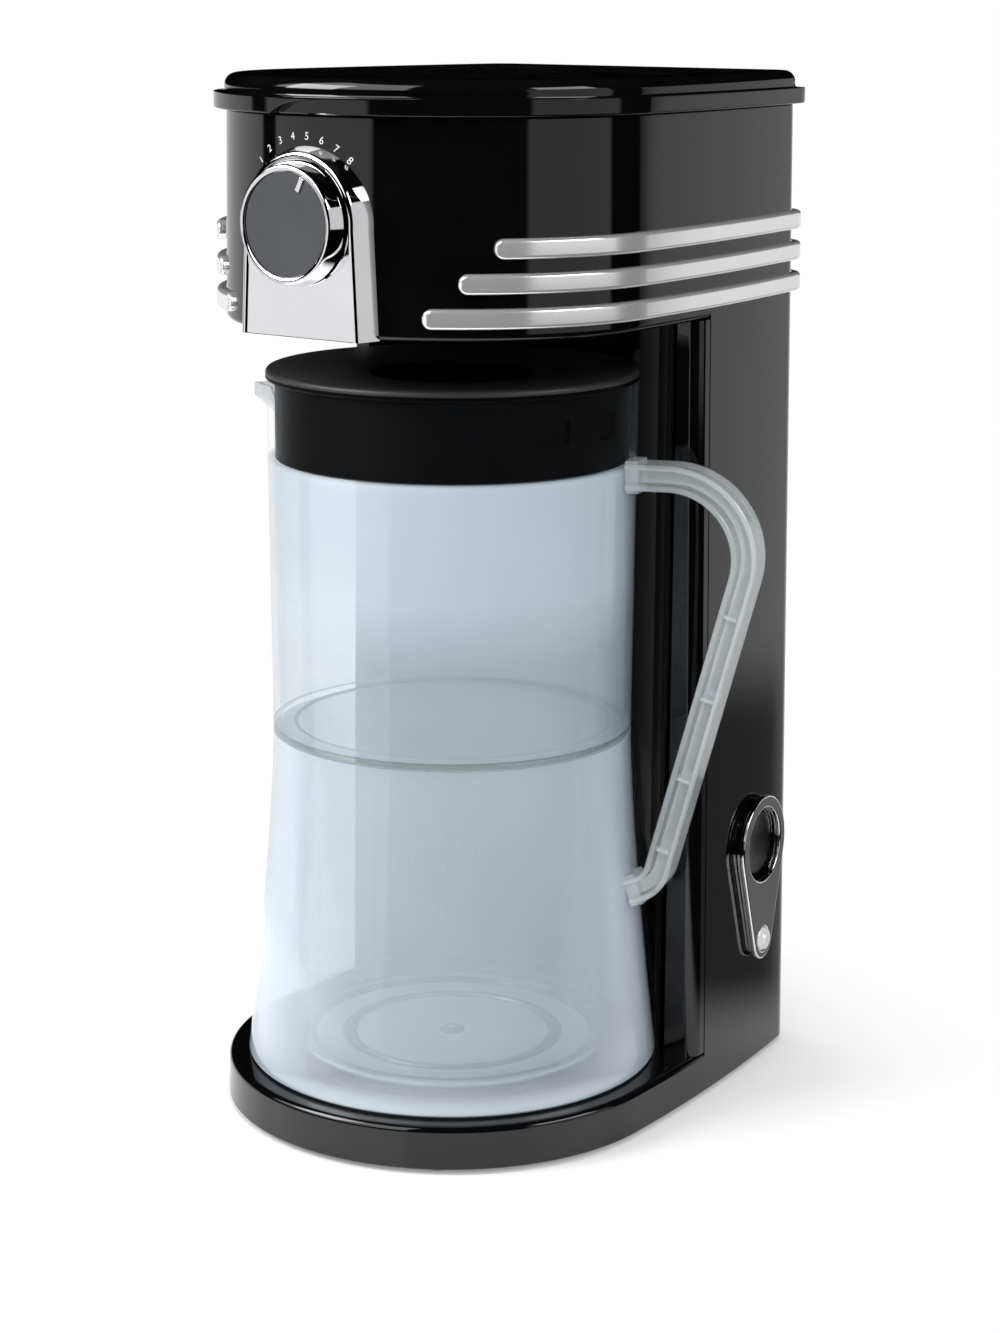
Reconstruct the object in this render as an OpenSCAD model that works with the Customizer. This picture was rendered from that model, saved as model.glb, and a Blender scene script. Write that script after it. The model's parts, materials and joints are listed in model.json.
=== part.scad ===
// Iced coffee maker: a drip brewer over a clear two-part pitcher, in millimetres.
// Frame: +Z up, front towards -Y, origin on the table under the pitcher's axis.

/* [Housing] */
// How far the round front, at the table plane, stands outside the bay's hollow
base_r = 4.3; // [3.6:0.1:10]
// Radius of the gently bowed sides
side_r = 790; // [500:10:1200]
// Distance from the bay's hollow to the rear face, at the table plane
rear_y = 51; // [46:0.5:64]
// Radius of the two rear corners
corner_r = 18.6; // [16:0.1:24]
// How far the walls lean in between the table plane and the housing's top edge
draft = 5.7; // [4:0.1:6.5]
// Wall thickness of the housing
wall = 2.6; // [2:0.1:3]
// Height of the housing's top edge above the head's lower edge
body_top = 77.7; // [70:0.1:95]
// Height of the housing's bottom edge above the table
skirt_lift = 2; // [1:0.1:3]
// Height of the deck that the pitcher stands on
deck_z = 19; // [17:0.5:24]
// Thickness of the deck
deck_t = 2.6; // [2:0.1:3]
// Height of the head's bottom edge
head_z = 313.3; // [270:0.1:350]
// Y of the front edges of the tower's side walls
tower_front_y = 51.5; // [48:0.5:56]
// Rounding of the base's upper edge and the head's lower edge
edge_r = 2.5; // [1:0.1:3]

/* [Bay] */
// Radius of the hollow in the bay panel, round the pitcher
bay_r = 86; // [76:0.5:98]
// Thickness of the bay panel
panel_t = 2.6; // [2:0.1:3]
// Gap of the seam between the bay panel and the tower's side walls
seam = 0.8; // [0.4:0.1:1.2]
// Depth of the panel's flank in front of the seam
strip_d = 8; // [6.5:0.5:10]
// Rounding of the panel's front corners
strip_r = 5; // [2:0.5:6]
// Thickness of the head floor
floor_t = 2.4; // [2:0.1:3]
// Radius of the coffee outlet in the head floor
outlet_r = 10; // [9:0.5:12]

/* [Lid] */
// Height of the lid's top above the housing's top edge
lid_top = 13; // [11.6:0.1:20]
// Height of the lid's rim band
rim_h = 6; // [5:0.1:7]
// How far the rim stands out past the housing
rim_out = 4.7; // [3:0.1:6]
// How far the cap steps in from the rim
cap_step = 4; // [3:0.1:5]
// Rounding of the cap's upper edge
cap_r = 4.5; // [3:0.1:4.6]
// Thickness of the lid
lid_t = 2.5; // [2:0.1:3]
// Gap between the lid's rim and the housing's top edge
lid_gap = 0.4; // [0.3:0.1:0.8]
// Width of the finger notch under the rim
notch_w = 30; // [20:1:40]
// Height of the finger notch
notch_h = 4.5; // [3:0.1:5]
// Radius of the hinge pin
pin_r = 2; // [1.5:0.1:2.2]
// Outer radius of the hinge knuckles
knuckle_r = 4; // [3.5:0.1:4.4]
// Length of the lid's knuckle
knuckle_l = 38; // [30:1:60]
// Width of each of the housing's two hinge ears
ear_w = 6; // [4:0.5:10]

/* [Trim bands] */
// Height of one band
band_h = 7.2; // [5:0.1:9]
// How far a band stands out from the housing
band_t = 3.5; // [2:0.1:4.5]
// Height of the lowest band's middle above the head's lower edge
band_z = 8.3; // [7:0.1:10]
// Distance from one band to the next above it
band_pitch = 12.2; // [11:0.1:14]
// Angle from the front to the tip of the lowest band
band_angle = 30.2; // [24:0.1:36]
// Angle by which each higher band starts further back
band_stagger = 8.4; // [5:0.1:12]

/* [Dial] */
// Height of the dial's axis above the head's lower edge
dial_z = 40.3; // [36:0.1:45]
// How far the dial plate's front stands out at the head's lower edge
plate_y = 5; // [4:0.1:7]
// Radius of the plate's round top
plate_r = 25.2; // [24:0.1:27]
// Half the plate's width at its lower edge
plate_foot = 27.2; // [26:0.1:30]
// Radius of the knob at its front
knob_r = 20.8; // [20.4:0.1:23]
// How much wider the knob is at its back
knob_flare = 1.3; // [0.2:0.1:2]
// How far the knob stands out from the plate
knob_h = 6.6; // [5:0.1:9]
// Radius of the dial face in the knob
face_r = 18.6; // [17:0.1:19.2]
// Radius of the dial shaft
shaft_r = 3; // [2.5:0.1:3.5]
// Angle of the pointer from straight up, clockwise
pointer_angle = 26.5; // [-44:0.5:44]

/* [Power switch] */
// Distance of the power button's centre behind the bay's hollow
switch_y = 10.1; // [4:0.1:12]
// Height of the power button's axis
switch_z = 94.9; // [85:0.1:100]
// Outer radius of the bezel round the button
bezel_r = 20.3; // [18.5:0.1:21]
// Outer radius of the bezel's lower tip
bezel_tip_r = 8.3; // [7:0.1:9]
// Distance from the button's axis down to the indicator
lamp_drop = 40.5; // [34:0.5:46]
// How far the bezel stands out
bezel_t = 4; // [3:0.1:5]
// Radius of the round opening in the bezel
opening_r = 15.3; // [14.2:0.1:16]
// Radius of the power button
button_r = 13; // [12:0.1:13.6]
// Travel of the power button
button_travel = 2; // [1:0.1:3]
// Radius of the indicator lens
lens_r = 5; // [4:0.1:5.5]

/* [Pitcher] */
// Radius at the pitcher's rim
rim_r = 71.5; // [70.5:0.1:72]
// How much less the radius is at the waist, where the shoulder ring is, than at the rim
waist_r = 1.1; // [0:0.1:3]
// Gap between the pitcher's foot and the bay's hollow
foot_r = 3.8; // [3:0.1:8]
// Wall thickness of the pitcher
pitcher_wall = 2.6; // [2:0.1:3]
// Depth of the pitcher's rim below the head's lower edge
rim_z = 23.5; // [18:0.1:40]
// Height of the shoulder ring
ring_z = 155; // [140:1:170]
// How far the lower vessel's top lies inside the waist
vessel_r = 6.4; // [5:0.1:10]
// How far the lower vessel's foot lies inside its top
vessel_foot_r = 2.5; // [0.5:0.1:5]
// Reach of the pouring spout from the pitcher's axis
spout_reach = 83.5; // [78:0.5:86]
// Direction of the handle, rearward of +X
handle_angle = 17; // [10:1:20]
// How far the handle's upper corner stands out from the rim
handle_reach = 56.1; // [48:0.1:58]
// Depth of the handle's upper root below the rim
handle_drop = 33.8; // [28:0.1:40]
// Height of the handle's lower root above the deck
handle_low = 73.5; // [60:0.5:90]
// Depth of the handle's bar in its own plane
handle_d = 10; // [8:0.5:12]
// Width of the handle's bar
handle_w = 14; // [10:0.5:15]
// Thickness of the handle's rails and web
handle_t = 2.2; // [1.8:0.1:3]
// Height of the pitcher lid's top above the rim
pitcher_lid_z = 4.2; // [3.6:0.1:7]
// Depth of the pitcher lid's skirt below the rim
lid_skirt = 30.6; // [20:0.1:40]

/* [Water and heat] */
// Wall thickness of the water tank
tank_wall = 2.2; // [1.8:0.1:3]
// Height of the water tank's floor
tank_z = 130; // [122:1:150]
// Distance of the two hose lines in from the left side
hose_x = 34.3; // [30:0.1:40]
// Distance of the cold water line behind the bay's hollow
cold_y = 10; // [9:0.5:12]
// Distance of the hot water line behind the bay's hollow
hot_y = 30; // [27.5:0.5:30.5]
// Height of the heater's water tube
heater_z = 42; // [38:1:50]
// Outer radius of the heater's water tube
tube_r = 5.5; // [5:0.1:6]
// Wall thickness of the hoses
hose_t = 1.8; // [1.4:0.1:2]

/* [Brewing] */
// Depth of the brew tray's top below the housing's top edge
tray_z = 5; // [3:0.1:8]
// Radius of the brew well's opening
well_r = 55.5; // [50:0.5:57]
// Height of the basket's lower end above the head's lower edge
basket_z = 3.2; // [2.8:0.1:10]

/* [Feet and screws] */
// Radius of a foot
rubber_r = 9; // [6:0.5:9.5]
// Radius of the cord gland's bore
cord_r = 3.7; // [3:0.1:4]
// Radius of a screw's shank
screw_r = 1.4; // [1:0.1:1.6]

/* [Hidden] */
$fn = 96;
// Clearance of a running shaft, and of pieces that sit in or beside each other
run_gap = 0.05;
seat_gap = 0.1;
fit_gap = 0.4;

// Places tied to the bay's hollow
front_r = bay_r + base_r;
rear_line = bay_r + rear_y;
skirt_foot = bay_r - foot_r;
switch_line = bay_r + switch_y;
cold_line = bay_r + cold_y;
hot_line = bay_r + hot_y;

// Heights above the table
housing_top = head_z + body_top;
lid_z = housing_top + lid_top;
dial_axis = head_z + dial_z;
first_band = head_z + band_z;
tray_top = housing_top - tray_z;
basket_low = head_z + basket_z;
pitcher_top = head_z - rim_z;
cap_z = pitcher_top + pitcher_lid_z;

// Radii of the pitcher and place of the hose lines
waist = rim_r - waist_r;
vessel_top = waist - vessel_r;
vessel_foot = vessel_top - vessel_foot_r;
hose_line = hose_x - front_r;

// Plan of the housing: round front, bowed sides, two rear corners, flat rear
side_cx = front_r - side_r;
corner_y = rear_line - corner_r;
side_angle = asin(corner_y / (side_r - corner_r));
corner_x = side_cx + (side_r - corner_r) * cos(side_angle);
tower_angle = asin(tower_front_y / side_r);
draft_angle = atan(draft / housing_top);
least_r = 0.5;
// A corner's wall stands out a hair and laps its neighbours
corner_nudge = 0.05;
corner_lap = 12;

// How far the wall has leaned in at height z
function inset(z) = draft * z / housing_top;
function arc(c, r, a0, a1, n) = [for (i = [0 : n]) let (a = a0 + (a1 - a0) * i / n) c + r * [cos(a), sin(a)]];
function flip(points) = [for (i = [len(points) - 1 : -1 : 0]) [-points[i][0], points[i][1]]];
function half_plan(o) = concat(
  arc([0, 0], front_r - o, -90, 0, 24),
  arc([side_cx, 0], side_r - o, side_angle / 4, side_angle, 3),
  arc([corner_x, corner_y], max(corner_r - o, least_r), side_angle + 6, 90, 6));
function plan(o) = let (half = half_plan(o)) concat(half, flip(half));

// Stretches of a wall: the profile has x out from the plan's line and y up
module sweep_front(to_angle) {
  rotate_extrude(angle = 180, start = 180) translate([front_r, 0]) children();
  for (s = [0, 1])
    mirror([s, 0, 0]) translate([side_cx, 0, 0])
      rotate_extrude(angle = to_angle, $fn = 360) translate([side_r, 0]) children();
}
module round_corner(to_angle) {
  translate([corner_x + corner_nudge, corner_y + corner_nudge, 0])
    rotate_extrude(angle = to_angle - side_angle + corner_lap, start = side_angle - corner_lap)
      translate([corner_r, 0]) children();
}
module sweep_rear(from_angle) {
  for (s = [0, 1])
    mirror([s, 0, 0]) {
      translate([side_cx, 0, 0])
        rotate_extrude(angle = side_angle - from_angle, start = from_angle, $fn = 360)
          translate([side_r, 0]) children();
      round_corner(90 + corner_lap) children();
    }
  translate([-corner_x, rear_line, 0]) rotate([90, 0, 90]) linear_extrude(2 * corner_x) children();
}
// A tube along Z
module ring(r_out, r_in, z0, z1) {
  difference() {
    translate([0, 0, z0]) cylinder(h = z1 - z0, r = r_out);
    translate([0, 0, z0 - 1]) cylinder(h = z1 - z0 + 2, r = r_in);
  }
}
plate_front = front_r - inset(head_z) + plate_y;
// Faces of the head's front: x to the right, y up from the dial's axis, z out towards the viewer
module on_front() {
  translate([0, 0, dial_axis]) rotate([90, 0, 0]) children();
}
// The right side wall at the power button: x rearward, y up, z outward
switch_angle = asin(switch_line / side_r);
switch_out = side_r - inset(switch_z);
module on_side() {
  translate([side_cx + switch_out * cos(switch_angle), switch_out * sin(switch_angle), switch_z])
    rotate([0, 0, switch_angle]) rotate([90, 0, 90]) rotate([-draft_angle, 0, 0]) children();
}

// Housing
ledge = edge_r + 2;
boss_r = 4;
front_boss = [0, 20 - front_r];
side_boss = [front_r - 24, 10];
rear_boss = [0, rear_line - 5.5];
deck_bosses = [front_boss, side_boss, [-side_boss[0], side_boss[1]]];
bosses = concat(deck_bosses, [rear_boss]);
cover_t = 2.4;
cover_z = skirt_lift + 0.4;
cover_top = cover_z + cover_t;
rear_boss_top = cover_top + 16;
bracket_boss_x = 34;
bracket_boss_z = heater_z + 18;
bracket_boss_l = 9.4;
gland_x = 45;
gland_z = 13;
gland_r = cord_r + 2.4;
hinge_y = rear_line - draft + rim_out + 1.5;
hinge_z = housing_top + 2;
ear_x = knuckle_l / 2 + 0.5;
lens_hole = lens_r + 0.15;
bush_r = shaft_r + 3;

module base_profile() {
  o = inset(deck_z);
  polygon(concat(
    [[-inset(skirt_lift) - wall, skirt_lift], [-inset(skirt_lift), skirt_lift]],
    arc([-o - edge_r, deck_z - edge_r], edge_r, 0, 90, 4),
    [[-o - ledge, deck_z], [-o - ledge, deck_z - deck_t], [-o - wall, deck_z - deck_t]]));
}
module head_profile() {
  o = inset(head_z);
  i = inset(housing_top);
  polygon(concat(
    arc([-o - edge_r, head_z + edge_r], edge_r, -90, 0, 4),
    [[-i, housing_top], [-i - wall, housing_top], [-o - wall, head_z + edge_r], [-o - wall, head_z]]));
}
module tower_profile() {
  o = inset(skirt_lift);
  i = inset(housing_top);
  polygon([[-o - wall, skirt_lift], [-o, skirt_lift], [-i, housing_top], [-i - wall, housing_top]]);
}
module bay_area(r) union() {
  circle(r);
  translate([-front_r, -front_r]) square([2 * front_r, front_r + tower_front_y]);
}
module hinge_ear() {
  wall_y = rear_line - draft - 1;
  rotate([90, 0, 90]) linear_extrude(ear_w)
    polygon([[wall_y, hinge_z - 18], [wall_y, hinge_z - 4], [hinge_y, hinge_z - 1],
      [hinge_y + knuckle_r - 0.5, hinge_z - 1]]);
  translate([0, hinge_y, hinge_z]) rotate([0, 90, 0]) cylinder(h = ear_w, r = knuckle_r);
}
module boss(p, top) {
  translate([p[0], p[1], cover_top]) cylinder(h = top - cover_top, r = boss_r);
}
module boss_holes() {
  for (p = bosses) translate([p[0], p[1], 0]) cylinder(h = deck_z - deck_t - 1, r = screw_r + run_gap);
}
module base_housing() color("#0b0b0d") difference() {
  union() {
    sweep_front(tower_angle) base_profile();
    translate([0, 0, deck_z - deck_t]) linear_extrude(deck_t) intersection() {
      polygon(plan(inset(deck_z) + wall + 0.8));
      bay_area(bay_r + panel_t);
    }
    for (p = deck_bosses) boss(p, deck_z - deck_t / 2);
  }
  boss_holes();
}
module head_housing() color("#0b0b0d") difference() {
  sweep_front(tower_angle) head_profile();
  on_front() cylinder(h = front_r, r = bush_r + run_gap);
}
module tower_housing() color("#0b0b0d") difference() {
  union() {
    sweep_rear(tower_angle) tower_profile();
    boss(rear_boss, rear_boss_top);
    for (x = [-bracket_boss_x, bracket_boss_x])
      translate([x, rear_line - inset(bracket_boss_z) - wall / 2, bracket_boss_z])
        rotate([90, 0, 0]) cylinder(h = bracket_boss_l, r = boss_r);
    for (s = [0, 1]) mirror([s, 0, 0]) translate([ear_x, 0, 0]) hinge_ear();
  }
  boss_holes();
  for (x = [-bracket_boss_x, bracket_boss_x])
    translate([x, rear_line - inset(bracket_boss_z) - wall - 0.4, bracket_boss_z]) rotate([90, 0, 0])
      cylinder(h = bracket_boss_l, r = screw_r + run_gap);
  on_side() translate([0, 0, -10]) cylinder(h = 20, r = button_r + 1);
  on_side() translate([0, -lamp_drop, -10]) cylinder(h = 20, r = lens_hole);
  translate([gland_x, rear_line + 5, gland_z]) rotate([90, 0, 0]) cylinder(h = 20, r = gland_r + seat_gap);
  translate([-ear_x - ear_w - 1, hinge_y, hinge_z]) rotate([0, 90, 0])
    cylinder(h = 2 * (ear_x + ear_w + 1), r = pin_r + run_gap / 2);
}

// Bay panel: hollow wall round the pitcher, with a flank at each side that ends at the seam
module strip_section() {
  polygon(concat(
    [[-20, -seam], [-20, -seam - strip_d]],
    arc([-strip_r, strip_r - seam - strip_d], strip_r, -90, 0, 6),
    [[0, -seam]]));
}
module bay_panel() color("#0d0d10") difference() {
  union() {
    translate([0, 0, deck_z]) linear_extrude(head_z - deck_z - seat_gap) intersection() {
      circle(bay_r + panel_t);
      translate([-front_r, tower_front_y - seam - strip_d + 1]) square(2 * front_r);
    }
    intersection() {
      translate([-2 * front_r, -2 * front_r, deck_z])
        cube([4 * front_r, 4 * front_r, head_z - deck_z - seat_gap]);
      for (s = [0, 1])
        mirror([s, 0, 0])
          translate([side_cx + side_r * cos(tower_angle), side_r * sin(tower_angle), 0])
            rotate([0, 0, tower_angle]) rotate([0, -draft_angle, 0])
              linear_extrude(head_z + 10) strip_section();
    }
  }
  translate([0, 0, deck_z - 1]) cylinder(h = head_z - deck_z + 2, r = bay_r);
}

module head_floor() color("#121214") translate([0, 0, head_z]) difference() {
  linear_extrude(floor_t) intersection() {
    polygon(plan(inset(head_z) + wall + fit_gap));
    bay_area(bay_r + panel_t);
  }
  translate([0, 0, -1]) cylinder(h = floor_t + 2, r = outlet_r);
}

// Brew tray: plate under the lid with the basket's well, the fill opening and the bypass port
tray_t = 2.5;
well_t = 2.5;
well_h = 46;
well_z = tray_top - well_h;
port_l = 4;
port_y = well_r + well_t + port_l;
port_w = 20;
port_offset = 8;
port_r = 3;
tank_inset = inset(housing_top) + wall + 1.2;
tank_r = bay_r + panel_t + 0.8;
tank_front = 60;
riser_r = tube_r + run_gap + hose_t;
riser_gap = 0.9;
tank_top = tray_top - tray_t - 0.2;
module tank_plan(o) {
  difference() {
    polygon(plan(tank_inset + o));
    circle(tank_r + o);
    translate([-2 * front_r, -2 * front_r]) square([4 * front_r, 2 * front_r + tank_front + o]);
    translate([hose_line, hot_line]) circle(riser_r + riser_gap + o);
  }
}
module brew_tray() color("#1b1b1e") difference() {
  union() {
    translate([0, 0, tray_top - tray_t]) linear_extrude(tray_t)
      polygon(plan(inset(tray_top) + wall + fit_gap));
    translate([0, 0, well_z]) cylinder(h = tray_top - well_z - 0.5, r = well_r + well_t);
    translate([-port_w / 2, -port_y, dial_axis - port_w / 2]) cube([port_w, port_y - well_r, port_w]);
  }
  translate([0, 0, well_z - 1]) cylinder(h = tray_top - well_z + 2, r = well_r);
  translate([0, 0, tray_top - tray_t - 1]) linear_extrude(tray_t + 2) tank_plan(tank_wall);
  translate([hose_line, hot_line, tray_top - tray_t - 1]) cylinder(h = tray_t + 2, r = riser_r + 0.3);
  on_front() translate([port_offset, 0, well_r - 10]) cylinder(h = port_y, r = port_r);
}

module bottom_cover() color("#161618") translate([0, 0, cover_z]) difference() {
  linear_extrude(cover_t) polygon(plan(inset(cover_top) + wall + fit_gap));
  for (p = bosses) translate([p[0], p[1], -1]) cylinder(h = cover_t + 2, r = screw_r + 0.3);
}
foot_in = rubber_r + wall + 2;
foot_turn = 33.5;
feet_at = [(front_r - foot_in) * [sin(foot_turn), -cos(foot_turn)], [front_r - foot_in, 36],
  [corner_x - 5, corner_y - 4]];
module feet() color("#1a1a1a") for (s = [0, 1], p = feet_at)
  mirror([s, 0, 0]) translate([p[0], p[1], 0]) cylinder(h = cover_z, r = rubber_r);
head_h = 1.4;
module bottom_screws() color("silver") for (p = bosses) translate([p[0], p[1], 0]) {
  translate([0, 0, cover_z - head_h]) cylinder(h = head_h, r = 2 * screw_r);
  translate([0, 0, cover_z - 0.2]) cylinder(h = deck_z - deck_t - cover_z - 2, r = screw_r);
}

// Trim bands: each runs from its rounded tip along the side and round the rear corner
tip_r = band_h / 2 + 0.3;
rear_stop = 75;
band_gap = 0.25;
module band_profile(z) {
  translate([-inset(z) + band_gap, z - band_h / 2]) square([band_t, band_h]);
}
module band(i) {
  z = first_band + i * band_pitch;
  tip = band_angle + i * band_stagger - 90;
  tip_turn = tip_r / front_r * 180 / PI;
  difference() {
    union() {
      rotate_extrude(angle = -tip, start = tip) translate([front_r, 0]) band_profile(z);
      translate([side_cx, 0, 0]) rotate_extrude(angle = side_angle, $fn = 360)
        translate([side_r, 0]) band_profile(z);
      round_corner(rear_stop) band_profile(z);
    }
    rotate([0, 0, tip + tip_turn]) translate([front_r - 20, 0, z]) difference() {
      translate([0, -2 * tip_r, -tip_r - 1]) cube([40, 2 * tip_r, 2 * tip_r + 2]);
      translate([-1, 0, 0]) rotate([0, 90, 0]) cylinder(h = 42, r = tip_r);
    }
  }
}
module trim_bands_right() color("#c9cacc") for (i = [0 : 2]) band(i);
module trim_bands_left() color("#c9cacc") mirror([1, 0, 0]) for (i = [0 : 2]) band(i);

module cord_gland() color("#141414") translate([gland_x, 0, gland_z]) rotate([-90, 0, 0]) difference() {
  union() {
    translate([0, 0, rear_line - wall - 4]) cylinder(h = wall + 4.5, r = gland_r);
    translate([0, 0, rear_line + seat_gap]) cylinder(h = 2.5, r = gland_r + 2.4);
    translate([0, 0, rear_line - wall - 4]) cylinder(h = 3, r = gland_r + 1.5);
  }
  translate([0, 0, rear_line - wall - 5]) cylinder(h = wall + 12, r = cord_r);
}

// Lid: rim band, stepped cap with a rounded edge, plate on top
rim_z0 = housing_top + lid_gap;
rim_x = rim_out - draft;
cap_x = rim_x - cap_step;
cap_in = 14;
module lid_profile() {
  polygon(concat(
    [[rim_x, rim_z0], [rim_x, rim_z0 + rim_h - 0.6]],
    [[rim_x - 0.6, rim_z0 + rim_h], [cap_x, rim_z0 + rim_h + 0.2]],
    arc([cap_x - cap_r, lid_z - cap_r], cap_r, 0, 90, 5),
    [[-cap_in, lid_z], [-cap_in, lid_z - lid_t]],
    arc([cap_x - cap_r, lid_z - cap_r], cap_r - lid_t, 90, 0, 3),
    [[cap_x - lid_t, rim_z0]]));
}
notch_r = (notch_w * notch_w / 4 + notch_h * notch_h) / (2 * notch_h);
ear_room = 0.6;
module top_lid() color("#0b0b0d") difference() {
  union() {
    sweep_front(tower_angle) lid_profile();
    sweep_rear(tower_angle) lid_profile();
    translate([0, 0, lid_z - lid_t]) linear_extrude(lid_t) polygon(plan(cap_in - 1));
    translate([-knuckle_l / 2, hinge_y, hinge_z]) rotate([0, 90, 0]) cylinder(h = knuckle_l, r = knuckle_r);
  }
  translate([0, 0, rim_z0 - notch_r + notch_h]) rotate([90, 0, 0])
    translate([0, 0, front_r - draft + 1.2]) cylinder(h = 20, r = notch_r);
  for (s = [0, 1])
    mirror([s, 0, 0])
      translate([ear_x - ear_room, hinge_y - knuckle_r - 2, rim_z0 - 5])
        cube([ear_w + 2 * ear_room, 20, rim_h + 5 + 0.1]);
  translate([-knuckle_l / 2 - 1, hinge_y, hinge_z]) rotate([0, 90, 0])
    cylinder(h = knuckle_l + 2, r = pin_r + run_gap);
}
module lid_hinge_pin() color("silver")
  translate([-ear_x - ear_w, hinge_y, hinge_z]) rotate([0, 90, 0])
    cylinder(h = 2 * (ear_x + ear_w), r = pin_r);

// Water channel under the lid, from the riser to the spray head
under_lid = lid_z - lid_t - seat_gap;
channel_h = 7;
channel_w = 14;
channel_t = 1.8;
spray_r = 34;
spray_h = 7.9;
spray_z = under_lid - spray_h;
jet_rings = [12, 24];
jet_r = 1.2;
channel_l = norm([hose_line, hot_line]);
channel_angle = atan2(-hot_line, -hose_line);
channel_z = under_lid - channel_h;
inlet_r = 4;
seal_top = tray_top + 3.2;
// Along the channel: x from the riser to the spray head, y across
module on_channel() {
  translate([hose_line, hot_line, 0]) rotate([0, 0, channel_angle]) children();
}
// The water's way through the channel's end and the spray head's wall
module channel_way(x0, x1) {
  translate([x0, channel_t - channel_w / 2, channel_z + channel_t])
    cube([x1 - x0, channel_w - 2 * channel_t, channel_h - 2 * channel_t]);
}
module water_channel() color("#2a2a2d") on_channel() difference() {
  union() {
    translate([-channel_w / 2, -channel_w / 2, channel_z])
      cube([channel_l - spray_r - seat_gap + channel_w / 2, channel_w, channel_h]);
    translate([0, 0, seal_top + fit_gap]) cylinder(h = channel_z - seal_top, r = channel_w / 2 - 0.5);
  }
  channel_way(channel_t - channel_w / 2, channel_l);
  translate([0, 0, seal_top]) cylinder(h = channel_z + channel_t + 1 - seal_top, r = inlet_r);
}
module spray_head() color("#2a2a2d") difference() {
  translate([0, 0, spray_z]) cylinder(h = under_lid - spray_z, r = spray_r);
  translate([0, 0, spray_z + channel_t]) cylinder(h = under_lid - spray_z, r = spray_r - channel_t);
  on_channel() channel_way(channel_l - spray_r - 1, channel_l);
  for (r = jet_rings, a = [0 : 45 : 315])
    rotate([0, 0, a]) translate([r, 0, spray_z - 1]) cylinder(h = channel_t + 2, r = jet_r);
}

// Strength dial
bush_in = front_r - inset(dial_axis) - wall - 2;
gate_y = port_y + 1;
gate_t = 2;
gate_r = 14;
knob_back = plate_front + 0.5;
knob_face = knob_back + knob_h;
face_t = 1;
face_sink = 0.7;
hub_r = shaft_r + 3;
// A straight edge that meets a circle runs in just inside it
nip = 0.975;
plate_depth = 16;
module plate_block(h) union() {
  x = plate_r * nip;
  cylinder(h = h, r = plate_r);
  linear_extrude(h) polygon([[-x, 4], [x, 4], [plate_foot, -dial_z], [-plate_foot, -dial_z]]);
}
module dial_plate() color("#d5d6d8") difference() {
  on_front() translate([0, 0, plate_front - plate_depth]) plate_block(plate_depth);
  cylinder(h = housing_top, r1 = front_r + seat_gap, r2 = front_r - draft + seat_gap);
  on_front() cylinder(h = plate_front + 1, r = bush_r + 0.3);
}
module dial_knob() color("#d5d6d8") on_front() difference() {
  translate([0, 0, knob_back]) cylinder(h = knob_h, r1 = knob_r + knob_flare, r2 = knob_r);
  translate([0, 0, knob_face - face_t - face_sink]) cylinder(h = 5, r = face_r + seat_gap);
  difference() {
    translate([0, 0, knob_back - 1]) cylinder(h = knob_h - face_t - face_sink - 1, r = knob_r - 2.5);
    translate([0, 0, knob_back - 2]) cylinder(h = knob_h, r = hub_r);
  }
  cylinder(h = knob_face - face_t - face_sink - 1, r = shaft_r + run_gap / 2);
}
module dial_face() color("#3a3c40") on_front()
  translate([0, 0, knob_face - face_t - face_sink]) cylinder(h = face_t, r = face_r);
module dial_pointer() color("#e2e2e4") on_front() rotate([0, 0, -pointer_angle])
  translate([-1.1, face_r - 5.5, knob_face - face_sink]) cube([2.2, 5.3, 0.6]);
module dial_shaft() color("#9a9a9e") on_front()
  translate([0, 0, gate_y]) cylinder(h = knob_face - face_t - face_sink - 1.2 - gate_y, r = shaft_r);
module dial_bush() color("#dcdcd6") on_front() difference() {
  union() {
    translate([0, 0, bush_in]) cylinder(h = plate_front - 1 - bush_in, r = bush_r);
    translate([0, 0, bush_in - 1.5]) cylinder(h = 1.5, r = bush_r + 2);
  }
  cylinder(h = plate_front, r = shaft_r + run_gap);
}
module shaft_clip() color("#8a8a8e") on_front()
  translate([0, 0, bush_in - 3]) ring(shaft_r + 2, shaft_r, 0, 1);
module strength_gate() color("#dcdcd6") on_front() translate([0, 0, gate_y]) difference() {
  cylinder(h = gate_t, r = gate_r);
  translate([0, 0, -1]) cylinder(h = gate_t + 2, r = shaft_r);
  for (a = [0 : 12 : 60])
    rotate([0, 0, a]) translate([port_offset, 0, -1]) cylinder(h = gate_t + 2, r = port_r * (1 - a / 80));
}

// Power switch on the right side
switch_front = -wall - 5.9;
switch_depth = 24;
switch_r = button_r + 3;
stem_r = 4;
stem_l = 9;
hollow_r = 34;
hollow_d = 1;
button_face = 0.8;
button_t = 5.6;
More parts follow.
